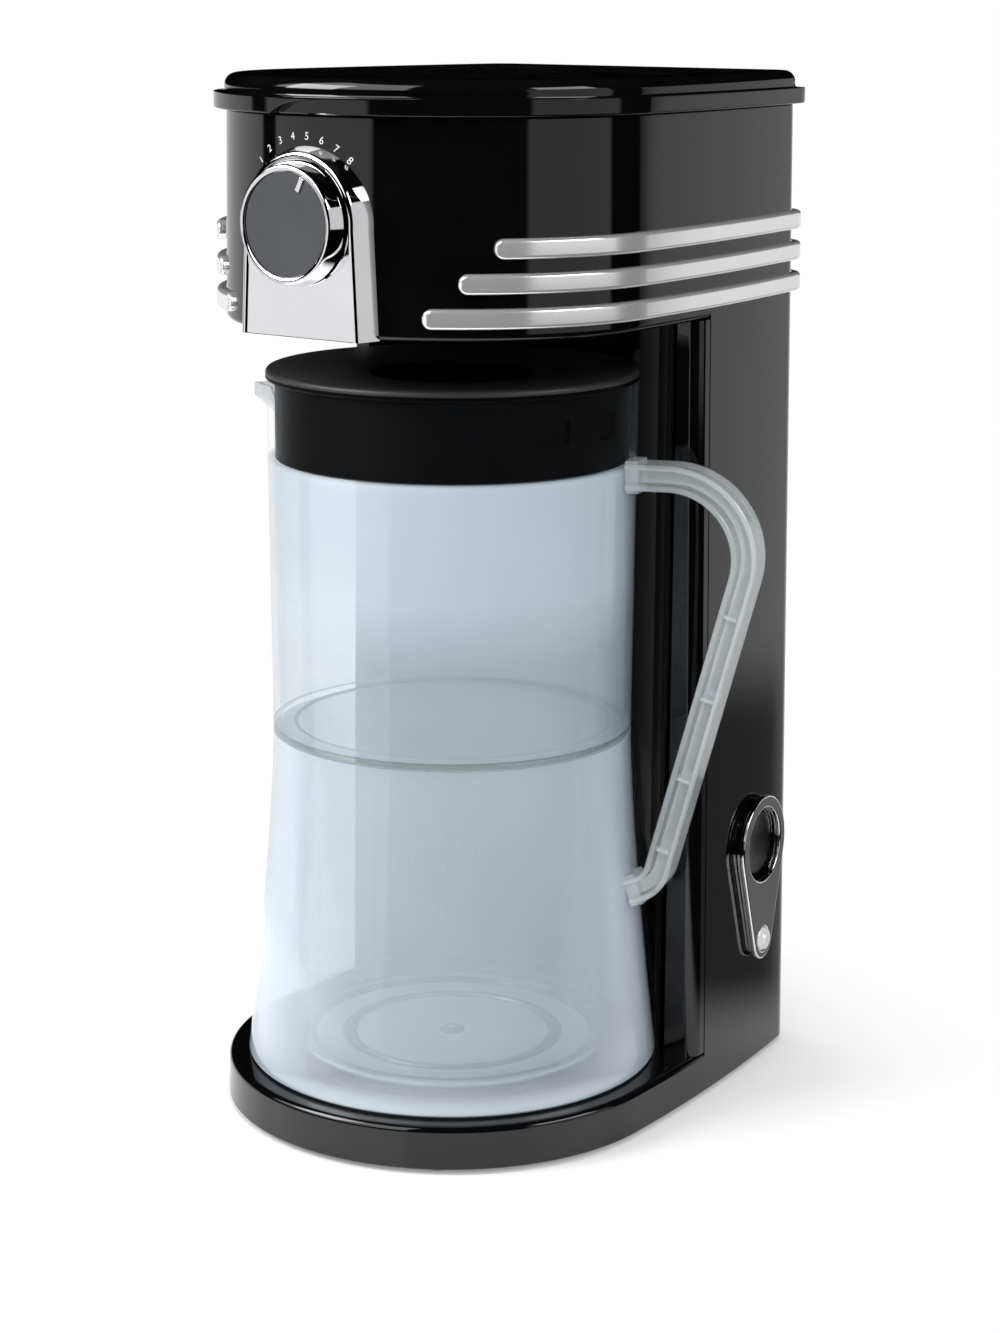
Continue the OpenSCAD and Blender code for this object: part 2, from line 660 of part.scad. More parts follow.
// Where a line touches both of the bezel's circles
bezel_lean = asin((bezel_r - bezel_tip_r) / lamp_drop);
module bezel_block(h) union() {
  cylinder(h = h, r = bezel_r);
  translate([0, -lamp_drop, 0]) cylinder(h = h, r = bezel_tip_r);
  n = [cos(bezel_lean), -sin(bezel_lean)] * nip;
  m = [-n[0], n[1]];
  low = [0, -lamp_drop];
  linear_extrude(h) polygon([bezel_r * n, low + bezel_tip_r * n, low + bezel_tip_r * m, bezel_r * m]);
}
module switch_bezel() color("#d5d6d8") on_side() difference() {
  translate([0, 0, seat_gap]) bezel_block(bezel_t);
  translate([0, 0, -1]) cylinder(h = bezel_t + 5, r = opening_r);
  translate([0, -lamp_drop, -1]) cylinder(h = bezel_t + 5, r = lens_hole);
}
module power_button() color("#101012") on_side() difference() {
  union() {
    translate([0, 0, button_face - button_t]) cylinder(h = button_t, r = button_r);
    translate([0, 0, switch_front - stem_l])
      cylinder(h = button_face - switch_front + stem_l - 1, r = stem_r);
  }
  translate([0, 0, button_face + hollow_r - hollow_d]) sphere(r = hollow_r);
}
module switch_body() color("#202024") on_side() difference() {
  translate([0, 0, switch_front - switch_depth])
    cylinder(h = switch_depth - wall - switch_front - fit_gap, r = switch_r);
  translate([0, 0, switch_front]) cylinder(h = 20, r = button_r + 1);
  translate([0, 0, switch_front - stem_l - button_travel - 1]) cylinder(h = 20, r = stem_r + run_gap);
}
module indicator_lens() color("#e9e4dc") on_side() translate([0, -lamp_drop, 0]) {
  translate([0, 0, -wall - 1]) cylinder(h = wall + 1 + bezel_t, r = lens_r);
  translate([0, 0, bezel_t - 0.2]) intersection() {
    translate([0, 0, 2.2 - lens_r * 1.2]) sphere(r = lens_r * 1.2);
    cylinder(h = 10, r = lens_r - 0.3);
  }
}
module indicator_lamp() color("#d8843c") on_side() translate([0, -lamp_drop, -wall - 1 - 14])
  cylinder(h = 14 - seat_gap, r = lens_r - 2);

// Water tank in the tower
outlet_boss_r = tube_r + 3.5;
seal_r = tube_r + 0.1;
valve_spigot_r = 4;
outlet_boss_l = 10;
module water_tank() color("#9fb0ba") difference() {
  union() {
    translate([0, 0, tank_z]) linear_extrude(tank_top - tank_z) tank_plan(0);
    translate([hose_line, cold_line, tank_z - outlet_boss_l]) cylinder(h = outlet_boss_l + 1, r = outlet_boss_r);
  }
  translate([0, 0, tank_z + tank_wall]) linear_extrude(tank_top - tank_z) tank_plan(tank_wall);
  translate([hose_line, cold_line, tank_z - outlet_boss_l - 1])
    cylinder(h = outlet_boss_l + tank_wall + 5, r = seal_r + run_gap);
}
module tank_seal() color("#c9c4ba") translate([hose_line, cold_line, 0])
  ring(seal_r, valve_spigot_r + run_gap, tank_z - outlet_boss_l, tank_z + 1);
barb_l = 8;
valve_l = 19;
valve_rim = 3;
valve_z = tank_z - outlet_boss_l - valve_l - 1;
module check_valve() color("#e6e2d8") translate([hose_line, cold_line, 0]) difference() {
  union() {
    translate([0, 0, valve_z - barb_l]) cylinder(h = barb_l + 1, r = tube_r);
    translate([0, 0, valve_z]) cylinder(h = valve_l, r = tube_r + valve_rim);
    translate([0, 0, valve_z + valve_l - 1]) cylinder(h = outlet_boss_l + 1, r = valve_spigot_r);
  }
  translate([0, 0, valve_z - barb_l - 1])
    cylinder(h = barb_l + valve_l + outlet_boss_l + 2, r = valve_spigot_r - 1.4);
}

// Heater: a water tube bent to a U, with a heating rod cast on below it
leg_end = hose_line + 16;
leg_bend = 38;
u_r = (hot_line - cold_line) / 2;
rod_r = 3.8;
rod_z = heater_z - tube_r - rod_r + 1;
hose_in = tube_r + run_gap;
hose_bend = 14;
sleeve_l = 7;
module u_path(r, x_end) {
  translate([leg_bend, (cold_line + hot_line) / 2, 0]) rotate_extrude(angle = 180, start = -90)
    translate([u_r, 0]) circle(r);
  for (y = [cold_line, hot_line]) translate([x_end, y, 0]) rotate([0, 90, 0]) cylinder(h = leg_bend - x_end, r = r);
}
module heater() color("#b9bcc0") {
  difference() {
    union() {
      translate([0, 0, heater_z]) u_path(tube_r, leg_end);
      translate([0, 0, rod_z]) u_path(rod_r, leg_end + 14);
    }
    translate([0, 0, heater_z]) u_path(tube_r - 1.6, leg_end - 1);
  }
}
bracket_y = rear_line - inset(bracket_boss_z) - wall / 2 - bracket_boss_l;
bracket_t = 1.6;
bracket_edge = 6;
bracket_rise = 8;
bracket_w = 2 * (bracket_boss_x + bracket_edge);
tab_x = 20;
tab_w = 8;
screw_grip = 7;
module heater_bracket() color("#a5a8ac") difference() {
  union() {
    translate([-bracket_w / 2, bracket_y - bracket_t, rod_z - rod_r - bracket_edge])
      cube([bracket_w, bracket_t, bracket_boss_z + bracket_rise - rod_z + rod_r + bracket_edge]);
    for (x = [-tab_x, tab_x])
      translate([x - tab_w / 2, cold_line - rod_r, rod_z - rod_r - seat_gap - bracket_t])
        cube([tab_w, bracket_y - cold_line + rod_r - 0.2, bracket_t]);
  }
  for (x = [-bracket_boss_x, bracket_boss_x])
    translate([x, bracket_y + 1, bracket_boss_z]) rotate([90, 0, 0])
      cylinder(h = bracket_t + 2, r = screw_r + 0.3);
}
module bracket_screws() color("silver") for (x = [-bracket_boss_x, bracket_boss_x])
  translate([x, bracket_y - bracket_t, bracket_boss_z]) rotate([90, 0, 0]) {
    cylinder(h = head_h, r = 2 * screw_r);
    translate([0, 0, -bracket_t - screw_grip]) cylinder(h = bracket_t + screw_grip + 0.2, r = screw_r);
  }
module thermostat() color("#c8b27a")
  translate([-14, bracket_y - bracket_t - seat_gap, bracket_boss_z - 2]) rotate([90, 0, 0]) {
  cylinder(h = 5, r = 7);
  translate([0, 0, 4.8]) cylinder(h = 2.5, r = 4.5);
}
fuse_r = 2.2;
module thermal_fuse() color("#d9d2c0")
  translate([10, bracket_y - bracket_t - fuse_r - seat_gap, bracket_boss_z - 3])
    rotate([0, 90, 0]) cylinder(h = 13, r = fuse_r);

// Hoses: sleeve on the heater, elbow, straight up
module hose(y, z_top) {
  difference() {
    hose_solid(y, z_top, hose_in + hose_t, 0);
    hose_solid(y, z_top, hose_in, 1);
  }
}
module hose_solid(y, z_top, r, over) {
  translate([hose_line + hose_bend, y, heater_z]) rotate([0, 90, 0])
    cylinder(h = leg_end + sleeve_l - hose_line - hose_bend + over, r = r);
  translate([hose_line + hose_bend, y, heater_z + hose_bend]) rotate([90, 0, 0])
    rotate_extrude(angle = 90, start = 180) translate([hose_bend, 0]) circle(r);
  translate([hose_line, y, heater_z + hose_bend]) cylinder(h = z_top - heater_z - hose_bend + over, r = r);
}
module inlet_hose() color("#d8d5cc") hose(cold_line, valve_z - seat_gap);
module riser_tube() color("#d8d5cc") hose(hot_line, tray_top + 0.5);
module riser_seal() color("#b8b4aa")
  translate([hose_line, hot_line, tray_top + 0.6]) ring(riser_r + 1.5, 4.5, 0, seal_top - tray_top - 0.6);

module terminal_block() color("#e8e4da") translate([14, rear_line - 27, cover_top + seat_gap]) difference() {
  cube([36, 13, 12]);
  for (x = [6 : 8 : 30]) translate([x, -1, 4]) rotate([-90, 0, 0]) cylinder(h = 15, r = 1.8);
  for (x = [6 : 8 : 30]) translate([x, 6.5, 6]) cylinder(h = 10, r = 1.6);
}

// Brewing
basket_r = well_r - 1.5;
flange_t = 2;
cone_z = well_z - 6;
basket_t = 2;
module brew_basket() color("#1d1d20") rotate_extrude() polygon([
  [7, basket_low], [7, cone_z - 8], [basket_r - 8, cone_z], [basket_r, tray_top + seat_gap],
  [well_r + 1.4, tray_top + seat_gap], [well_r + 1.4, tray_top + seat_gap + flange_t],
  [basket_r - basket_t, tray_top + seat_gap + flange_t], [basket_r - 8 - basket_t, cone_z + 1.5],
  [5, cone_z - 6], [5, basket_low]]);
filter_t = 0.8;
filter_gap = 0.8;
filter_rim = tray_top + seat_gap + flange_t;
module permanent_filter() color("#c8a860") rotate_extrude() polygon([
  [0, cone_z + 6], [basket_r - 9 - basket_t - filter_gap, cone_z + 6],
  [basket_r - basket_t - filter_gap, filter_rim - 1],
  [basket_r - basket_t - filter_gap, filter_rim + seat_gap],
  [basket_r + 1, filter_rim + seat_gap], [basket_r + 1, filter_rim + seat_gap + filter_t],
  [basket_r - basket_t - filter_gap - filter_t, filter_rim + seat_gap + filter_t],
  [basket_r - 9 - basket_t - filter_gap - filter_t, cone_z + 6 + filter_t], [0, cone_z + 6 + filter_t]]);

// Pitcher
pitcher_z = deck_z + 0.2;
shoulder_t = 3;
flare_power = 1.4;
vessel_z = pitcher_z + 2;
vessel_floor = 3;
spout_w = 12;
spout_h = 13;
spout_top = pitcher_top - 6;
spout_root = rim_r - pitcher_wall / 2;
function taper_r(z) = waist + (rim_r - waist) * (z - ring_z) / (pitcher_top - ring_z);
skirt_top = ring_z - shoulder_t;
function skirt_r(z) =
  waist + (skirt_foot - waist) * pow((skirt_top - z) / (skirt_top - pitcher_z), flare_power);
module on_spout() {
  rotate([0, 0, handle_angle + 180]) children();
}
module pitcher_body() color("#dfeaee", 0.45) difference() {
  union() {
    rotate_extrude() polygon([
      [waist, ring_z], [rim_r, pitcher_top], [rim_r - pitcher_wall, pitcher_top],
      [waist - pitcher_wall, ring_z]]);
    on_spout() intersection() {
      translate([0, 0, spout_top - spout_h]) linear_extrude(spout_h)
        polygon([[spout_root, -spout_w], [spout_reach, 0], [spout_root, spout_w]]);
      translate([0, spout_w + 1, 0]) rotate([90, 0, 0]) linear_extrude(2 * spout_w + 2)
        polygon([[0, spout_top + 1], [spout_reach + 1, spout_top + 1], [spout_reach + 1, spout_top - 5],
          [rim_r, spout_top - spout_h], [0, spout_top - spout_h]]);
    }
  }
  on_spout() translate([0, 0, spout_top - spout_h / 2]) linear_extrude(spout_h + 10)
    polygon([[spout_root - 12, 4 - spout_w], [spout_reach - 3, 0], [spout_root - 12, spout_w - 4]]);
}
module pitcher_vessel() color("#dfeaee", 0.45) rotate_extrude() polygon([
  [vessel_foot, vessel_z], [vessel_top, skirt_top], [waist, skirt_top], [waist, ring_z],
  [waist - pitcher_wall, ring_z], [vessel_top - pitcher_wall, skirt_top - 2],
  [vessel_foot - pitcher_wall, vessel_z + vessel_floor], [0, vessel_z + vessel_floor], [0, vessel_z]]);
skirt_steps = 12;
skirt_zs = [for (i = [0 : skirt_steps]) pitcher_z + (skirt_top - run_gap - pitcher_z) * i / skirt_steps];
module pitcher_skirt() color("#dfeaee", 0.45) rotate_extrude() polygon(concat(
  [for (z = skirt_zs) [skirt_r(z), z]],
  [for (i = [skirt_steps : -1 : 0]) [skirt_r(skirt_zs[i]) - pitcher_wall, skirt_zs[i]]]));

// Handle: an H-shaped bar bent in the plane of the handle, x out from the axis and y up
function unit(v) = v / norm(v);
function normal(v) = [-v[1], v[0]];
function bend(p, c, q, r, n) = let (
    u = unit(p - c), v = unit(q - c), half = acos(u * v) / 2, m = c + unit(u + v) * r / sin(half),
    a0 = atan2((c + u * r / tan(half) - m)[1], (c + u * r / tan(half) - m)[0]),
    turn = (180 - 2 * half) * sign(u[0] * v[1] - u[1] * v[0]))
  [for (i = [0 : n]) let (a = a0 - turn * i / n) [m + r * [cos(a), sin(a)], -sign(turn) * [-sin(a), cos(a)]]];
root_sink = 2;
top_root_z = pitcher_top - handle_drop;
low_root_z = deck_z + handle_low;
top_root = [taper_r(top_root_z) - root_sink, top_root_z];
top_corner = [rim_r + handle_reach, top_root_z + 1.2];
low_corner = [85, low_root_z + 4];
low_root = [skirt_r(low_root_z) - root_sink, low_root_z];
top_bend_r = 30;
low_bend_r = 13;
handle_path = concat(
  [[top_root, unit(top_corner - top_root)]],
  bend(top_root, top_corner, low_corner, top_bend_r, 10),
  bend(top_corner, low_corner, low_root, low_bend_r, 6),
  [[low_root, unit(low_root - low_corner)]]);
module handle_strip(w, skip) {
  path = [for (i = [skip : len(handle_path) - 1 - skip]) handle_path[i]];
  polygon(concat(
    [for (p = path) p[0] + normal(p[1]) * w / 2],
    [for (i = [len(path) - 1 : -1 : 0]) path[i][0] - normal(path[i][1]) * w / 2]));
}
rib_start = handle_path[11][0];
rib_run = handle_path[12][0] - rib_start;
rib_spots = [for (s = [0.12, 0.4, 0.68, 0.93]) rib_start + s * rib_run];
rib_angle = atan2(rib_run[1], rib_run[0]);
module handle_bar() {
  rotate([0, 0, handle_angle]) rotate([90, 0, 0]) {
    difference() {
      translate([0, 0, -handle_w / 2]) linear_extrude(handle_w) handle_strip(handle_d, 0);
      for (s = [0, 1])
        mirror([0, 0, s]) translate([0, 0, handle_t / 2])
          linear_extrude(handle_w) handle_strip(handle_d - 2 * handle_t, 1);
    }
    for (p = rib_spots)
      translate([p[0], p[1], 0]) rotate([0, 0, rib_angle])
        cube([1.4, handle_d - 1, handle_w - 1], center = true);
  }
}
// Both roots are hollowed to sit against the pitcher's wall
saddle_h = 40;
module pitcher_handle() color("#e4ecef", 0.6) difference() {
  handle_bar();
  translate([0, 0, top_root_z - saddle_h / 2])
    cylinder(h = saddle_h, r1 = taper_r(top_root_z - saddle_h / 2) + seat_gap,
      r2 = taper_r(top_root_z + saddle_h / 2) + seat_gap);
  translate([0, 0, low_root_z - saddle_h / 2])
    cylinder(h = saddle_h, r1 = skirt_r(low_root_z - saddle_h / 2) + seat_gap,
      r2 = skirt_r(low_root_z + saddle_h / 2) + seat_gap);
}

// Pitcher lid: dished disc with a skirt that plugs the rim
lid_flange = pitcher_top + 0.2;
plug_r = min(rim_r, taper_r(pitcher_top - lid_skirt)) - pitcher_wall - fit_gap;
plug_t = 2;
dish_r = 31;
dish_z = cap_z - 9;
slot_w = 15;
slot_h = 9;
module pitcher_lid() color("#101012") difference() {
  rotate_extrude() polygon(concat(
    [[plug_r, lid_flange], [rim_r + 0.2, lid_flange]],
    arc([rim_r - 1.3, cap_z - 1.5], 1.5, 0, 90, 4),
    [[dish_r, cap_z - 2.4], [dish_r - 5, dish_z], [0, dish_z], [0, dish_z - 2.2],
     [dish_r - 3.5, dish_z - 2.2], [dish_r + 1, cap_z - 4.6], [plug_r - plug_t, lid_flange - 1],
     [plug_r - plug_t, pitcher_top - lid_skirt], [plug_r, pitcher_top - lid_skirt]]));
  translate([0, 0, dish_z - 5]) cylinder(h = 10, r = 6);
  for (a = [-20, 7])
    rotate([0, 0, a]) translate([plug_r - 6, -slot_w / 2, pitcher_top - 18]) cube([12, slot_w, slot_h]);
}

base_housing();
tower_housing();
head_housing();
bay_panel();
head_floor();
brew_tray();
bottom_cover();
feet();
bottom_screws();
trim_bands_right();
trim_bands_left();
cord_gland();
top_lid();
lid_hinge_pin();
water_channel();
spray_head();
dial_plate();
dial_knob();
dial_face();
dial_pointer();
dial_shaft();
dial_bush();
shaft_clip();
strength_gate();
switch_bezel();
power_button();
switch_body();
indicator_lens();
indicator_lamp();
water_tank();
tank_seal();
check_valve();
inlet_hose();
heater();
heater_bracket();
bracket_screws();
thermostat();
thermal_fuse();
riser_tube();
riser_seal();
terminal_block();
brew_basket();
permanent_filter();
pitcher_body();
pitcher_vessel();
pitcher_skirt();
pitcher_handle();
pitcher_lid();
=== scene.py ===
"""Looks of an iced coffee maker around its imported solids.

Lengths are millimetres in the part's frame, and MM turns them into metres.
"""
import json
from math import asin, atan, atan2, cos, degrees, pi, radians, sin, sqrt, tan

import bmesh
import bpy
from mathutils import Matrix, Vector


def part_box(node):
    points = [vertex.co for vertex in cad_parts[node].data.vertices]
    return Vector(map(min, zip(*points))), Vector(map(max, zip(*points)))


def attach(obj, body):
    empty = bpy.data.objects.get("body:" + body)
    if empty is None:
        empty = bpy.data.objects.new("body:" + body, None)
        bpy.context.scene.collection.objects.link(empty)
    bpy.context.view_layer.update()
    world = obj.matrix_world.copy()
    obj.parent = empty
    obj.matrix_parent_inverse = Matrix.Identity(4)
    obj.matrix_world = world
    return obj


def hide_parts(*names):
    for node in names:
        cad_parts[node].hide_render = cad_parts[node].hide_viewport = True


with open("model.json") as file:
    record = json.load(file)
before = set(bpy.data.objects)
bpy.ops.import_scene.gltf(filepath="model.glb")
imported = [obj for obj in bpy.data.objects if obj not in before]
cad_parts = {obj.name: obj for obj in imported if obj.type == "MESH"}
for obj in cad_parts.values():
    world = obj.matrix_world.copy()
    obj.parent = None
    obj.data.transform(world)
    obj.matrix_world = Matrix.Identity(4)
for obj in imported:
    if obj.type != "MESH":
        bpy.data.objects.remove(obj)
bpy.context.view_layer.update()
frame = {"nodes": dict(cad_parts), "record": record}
scene = bpy.context.scene
MM = 0.001


def box_mm(node):
    """Lowest and highest corner of a node, in millimetres."""
    low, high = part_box(node)
    return low / MM, high / MM


# Heights taken from the solids
DECK_Z = box_mm("bay_panel")[0].z
HEAD_Z = box_mm("head_housing")[0].z
TOP_Z = box_mm("head_housing")[1].z
LID_Z = box_mm("top_lid")[1].z
PITCHER_Z = box_mm("pitcher_skirt")[0].z
SKIRT_TOP = box_mm("pitcher_skirt")[1].z
RING_Z = box_mm("pitcher_vessel")[1].z
RIM_Z = box_mm("pitcher_body")[1].z
CAP_Z = box_mm("pitcher_lid")[1].z

# Housing
BASE_R = 90.3
SIDE_R = 790
REAR_Y = 137
CORNER_R = 18.6
DRAFT = 5.7
WALL = 2.6
SKIRT_Z = 2
DECK_T = 2.6
EDGE_R = 2.5
SOFT = 0.5
TOWER_Y = 51.5
LEDGE = EDGE_R + 2
BAY_R = 86
PANEL_T = 2.6
SEAM = 0.8
STRIP_D = 8
STRIP_R = 5
FRONT_STEPS = 60
SIDE_STEPS = 8
CORNER_STEPS = 16
SPIN = 144
# Space that keeps the faces of neighbours apart
HAIR = 0.05
# Vertices nearer than this, in metres, are one
WELD = 1e-7

SIDE_CX = BASE_R - SIDE_R
CORNER_Y = REAR_Y - CORNER_R
SIDE_A = asin(CORNER_Y / (SIDE_R - CORNER_R))
CORNER_X = SIDE_CX + (SIDE_R - CORNER_R) * cos(SIDE_A)
TOWER_A = asin(TOWER_Y / SIDE_R)
DRAFT_A = atan(DRAFT / TOP_Z)

# Hinge, dial and power switch
PIN_Y = REAR_Y - DRAFT + 6.2
PIN_Z = TOP_Z + 2
KNUCKLE_R = 4
KNUCKLE_L = 38
EAR_X = KNUCKLE_L / 2 + 0.5
EAR_W = 6
DIAL_Z = HEAD_Z + 40.3
PLATE_OUT = 5
PLATE_R = 25.2
PLATE_FOOT = 27.2
PLATE_FLARE = 1.7
SWITCH_Y = 96.1
SWITCH_Z = 94.9
SWITCH_HOLE_R = 14
LAMP_DROP = 40.5
LAMP_HOLE_R = 5.15
GLAND_X = 45
GLAND_Z = 13
GLAND_R = 6.2
HOLE_L = 20


def inset(z):
    """How far the walls have leaned in at height z."""
    return DRAFT * z / TOP_Z


def shift(x, y, z):
    return Matrix.Translation((x, y, z))


QUARTER = pi / 2
PLATE_FRONT = BASE_R - inset(HEAD_Z) + PLATE_OUT
SWITCH_A = asin(SWITCH_Y / SIDE_R)
SWITCH_OUT = SIDE_R - inset(SWITCH_Z)
SWITCH_X = SIDE_CX + SWITCH_OUT * cos(SWITCH_A)
# Frames that stand a flat outline on the head's front, on the right side or across the machine
ON_FRONT = shift(0, 0, DIAL_Z) @ Matrix.Rotation(QUARTER, 4, "X")
ON_SIDE = (
    shift(SWITCH_X, SWITCH_OUT * sin(SWITCH_A), SWITCH_Z)
    @ Matrix.Rotation(SWITCH_A + QUARTER, 4, "Z")
    @ Matrix.Rotation(QUARTER - DRAFT_A, 4, "X")
)
AT_LAMP = ON_SIDE @ shift(0, -LAMP_DROP, 0)
ACROSS = Matrix(((0, 0, 1, 0), (1, 0, 0, 0), (0, 1, 0, 0), (0, 0, 0, 1)))

# Pitcher
RIM_R = 71.5
WAIST_R = 70.4
FOOT_R = 82.2
PITCHER_T = 2.6
VESSEL_R = 64
VESSEL_FOOT_R = 61.5
VESSEL_FLOOR = 3
FLOOR_RING_R = 43
FLOOR_RING_W = 3.2
NUB_R = 4.2
RING_R = 60.8
FLARE = 1.4
SPOUT_REACH = 83.5
SPOUT_W = 12
SPOUT_H = 13
SPOUT_TOP = RIM_Z - 6
SPOUT_T = 1.6
HANDLE_A = radians(17)
# Depth under the pitcher lid's top down to which the top is painted lighter as light
DISC_EDGE = 2.3


# Materials
class NodeKit:
    """Short calls for the nodes of a material or world, with its last shader and its coordinates."""

    def __init__(self, owner, shader, coords):
        owner.use_nodes = True
        self.tree = owner.node_tree
        self.shader = self.tree.nodes[shader]
        self.coords = self.add("TexCoord").outputs[coords]

    def feed(self, node, key, value):
        """Links an input of a node, or sets it to a plain value."""
        if isinstance(value, bpy.types.NodeSocket):
            self.tree.links.new(value, node.inputs[key])
        else:
            node.inputs[key].default_value = value

    def put(self, key, value):
        self.feed(self.shader, key, value)

    def add(self, kind, inputs=(), **settings):
        """A new node with its settings and what goes into its inputs."""
        node = self.tree.nodes.new("ShaderNode" + kind)
        for key, value in settings.items():
            setattr(node, key, value)
        for key, value in dict(inputs).items():
            self.feed(node, key, value)
        return node

    def split(self):
        """The three coordinates."""
        return self.add("SeparateXYZ", {0: self.coords}).outputs

    def calc(self, operation, *values):
        """The result of a math node."""
        return self.add("Math", enumerate(values), operation=operation).outputs[0]

    def remap(self, value, start, end, low=0, high=1, kind="LINEAR"):
        """A value moved from one range to another."""
        ends = {"Value": value, "From Min": start, "From Max": end, "To Min": low, "To Max": high}
        return self.add("MapRange", ends, interpolation_type=kind).outputs["Result"]

    def blend(self, factor, first, second):
        """A colour between two others."""
        return self.add("Mix", {0: factor, 6: first, 7: second}, data_type="RGBA").outputs[2]

    def ramp(self, factor, stops):
        """A colour that follows stops of place and colour."""
        node = self.add("ValToRGB", {"Fac": factor})
        elements = node.color_ramp.elements
        while len(elements) < len(stops):
            elements.new(0.5)
        for element, (position, colour) in zip(elements, stops):
            element.position = position
            element.color = (*colour, 1)
        return node.outputs["Color"]

    def tint(self, factor, dark, light):
        return self.ramp(factor, ((0, dark), (1, light)))

    def vary(self, scale, low, high):
        """A slow noise between two values."""
        noise = self.add("TexNoise", {"Vector": self.coords, "Scale": scale, "Detail": 4})
        return self.remap(noise.outputs["Fac"], 0.3, 0.7, low, high)

    def bump(self, height, strength, depth):
        node = self.add("Bump", {"Height": height, "Strength": strength, "Distance": depth})
        return node.outputs["Normal"]

    def seen(self):
        """One for rays from the eye and through clear pieces, and whether a ray is glossy."""
        ray = self.add("LightPath").outputs
        return self.calc("MAXIMUM", ray["Is Camera Ray"], ray["Is Transmission Ray"]), ray["Is Glossy Ray"]


def new_material(name):
    mat = bpy.data.materials.new(name)
    return mat, NodeKit(mat, "Principled BSDF", "Object")


def moulded(name, dark, light, rough, grain_scale, grain, metal=0, specular=0.5):
    """Moulded or plated surface: uneven tone, uneven gloss and a fine skin."""
    mat, kit = new_material(name)
    kit.put("Base Color", kit.tint(kit.vary(35, 0, 1), dark, light))
    kit.put("Roughness", kit.vary(60, *rough))
    noise = kit.add("TexNoise", {"Vector": kit.coords, "Scale": grain_scale, "Detail": 3})
    kit.put("Normal", kit.bump(noise.outputs["Fac"], grain, 0.0002))
    kit.put("Specular IOR Level", specular)
    kit.put("Metallic", metal)
    return mat


def cap_painted_light():
    """Satin black pitcher lid with painted light: the top of the disc is painted lighter grey for the light
    and sheen it catches, and the dish, side and skirt are painted deep black and made dull as shade.
    """
    mat, kit = new_material("cap_painted_light")
    # Painted light: over this height the lid's top is painted lighter grey, under it painted deep black as
    # shade
    painted_light_top = kit.calc("GREATER_THAN", kit.split()["Z"], (CAP_Z - DISC_EDGE) * MM)
    disc = kit.tint(kit.vary(35, 0, 1), (0.022, 0.022, 0.021), (0.026, 0.026, 0.025))
    deep = (0.0015, 0.0015, 0.0017, 1)
    kit.put("Base Color", kit.blend(painted_light_top, deep, disc))
    # The painted shade under the top is also made dull
    kit.put("Specular IOR Level", kit.remap(painted_light_top, 0, 1, 0.05, 0.5))
    kit.put("Roughness", kit.vary(60, 0.4, 0.5))
    return mat


# Clear plastic: colours of the painted shade at turned edges and at thick corners, standing for light that
# the plastic bends away there; sharpness and alpha of a corner's line
PAINTED_EDGE_SHADE = (0.08, 0.11, 0.12, 1)
PAINTED_LINE_SHADE = (0.05, 0.085, 0.09, 1)
LINE_SHARP = 2.5
LINE_ALPHA = 0.9
# Alpha under which a surface counts as clear, and shows haze only at its very edge
CLEAR_ALPHA = 1 / 160


def painted_corner_lines(kit, lines):
    """How near a place is to rings, each given by radius, height and width in mm, and strength. It places
    the painted dark lines.
    """
    calc = kit.calc

    def length(a, b):
        return calc("SQRT", calc("ADD", calc("MULTIPLY", a, a), calc("MULTIPLY", b, b)))

    x, y, z = kit.split()
    radius = length(x, y)
    corner = 0
    for line_r, line_z, width, strength in lines:
        away = length(calc("SUBTRACT", radius, line_r * MM), calc("SUBTRACT", z, line_z * MM))
        near = calc("MULTIPLY", calc("SUBTRACT", 1, calc("DIVIDE", away, width * MM)), LINE_SHARP)
        near = calc("MAXIMUM", calc("MINIMUM", near, 1), 0)
        corner = calc("MAXIMUM", corner, calc("MULTIPLY", near, strength))
    return corner


def haze_level(kit, stops):
    """Alpha by height, from stops of height in mm and alpha."""
    low, high = stops[0][0], stops[-1][0]
    share = kit.remap(kit.split()["Z"], low * MM, high * MM)
    return kit.ramp(share, [((z - low) / (high - low), (alpha,) * 3) for z, alpha in stops])


def clear_plastic(name, colour, stops, edge, lines=(), rough=0.04, edge_painted_shade=0, edge_power=2.5):
    """Clear moulded plastic.

    Its haze changes with height by the stops and grows towards edge where the surface turns away. There a
    painted shade darkens it, standing for light that the plastic bends away, and thick corners at the lines
    show as painted dark lines.
    """
    mat, kit = new_material(name)
    calc = kit.calc
    level = haze_level(kit, stops)
    turned = calc("POWER", kit.add("LayerWeight", {"Blend": 0.3}).outputs["Facing"], edge_power)
    hazy = calc("MINIMUM", calc("DIVIDE", level, CLEAR_ALPHA), 1)
    rim = calc("POWER", turned, calc("DIVIDE", 1, hazy))
    alpha = calc("MAXIMUM", level, calc("MULTIPLY", rim, edge))
    pale = [min(1, c * 1.04) for c in colour]
    body = kit.tint(kit.vary(12, 0, 1), colour, pale)
    # Painted shade: turned edges darken towards a dark tint, for light that the plastic bends away
    if edge_painted_shade:
        body = kit.blend(calc("MULTIPLY", turned, edge_painted_shade), body, PAINTED_EDGE_SHADE)
    # Painted shade: thick corners show as dark, more opaque lines, partly for the plastic's depth there and
    # partly for light that it bends away
    if lines:
        corner = painted_corner_lines(kit, lines)
        body = kit.blend(corner, body, PAINTED_LINE_SHADE)
        alpha = calc("MAXIMUM", alpha, calc("MULTIPLY", corner, LINE_ALPHA))
    kit.put("Base Color", body)
    kit.put("Alpha", alpha)
    kit.put("Roughness", kit.vary(40, rough, rough * 2))
    kit.put("Specular IOR Level", 0.8)
    kit.put("Coat Weight", 0.6)
    kit.put("Coat Roughness", 0.03)
    return mat


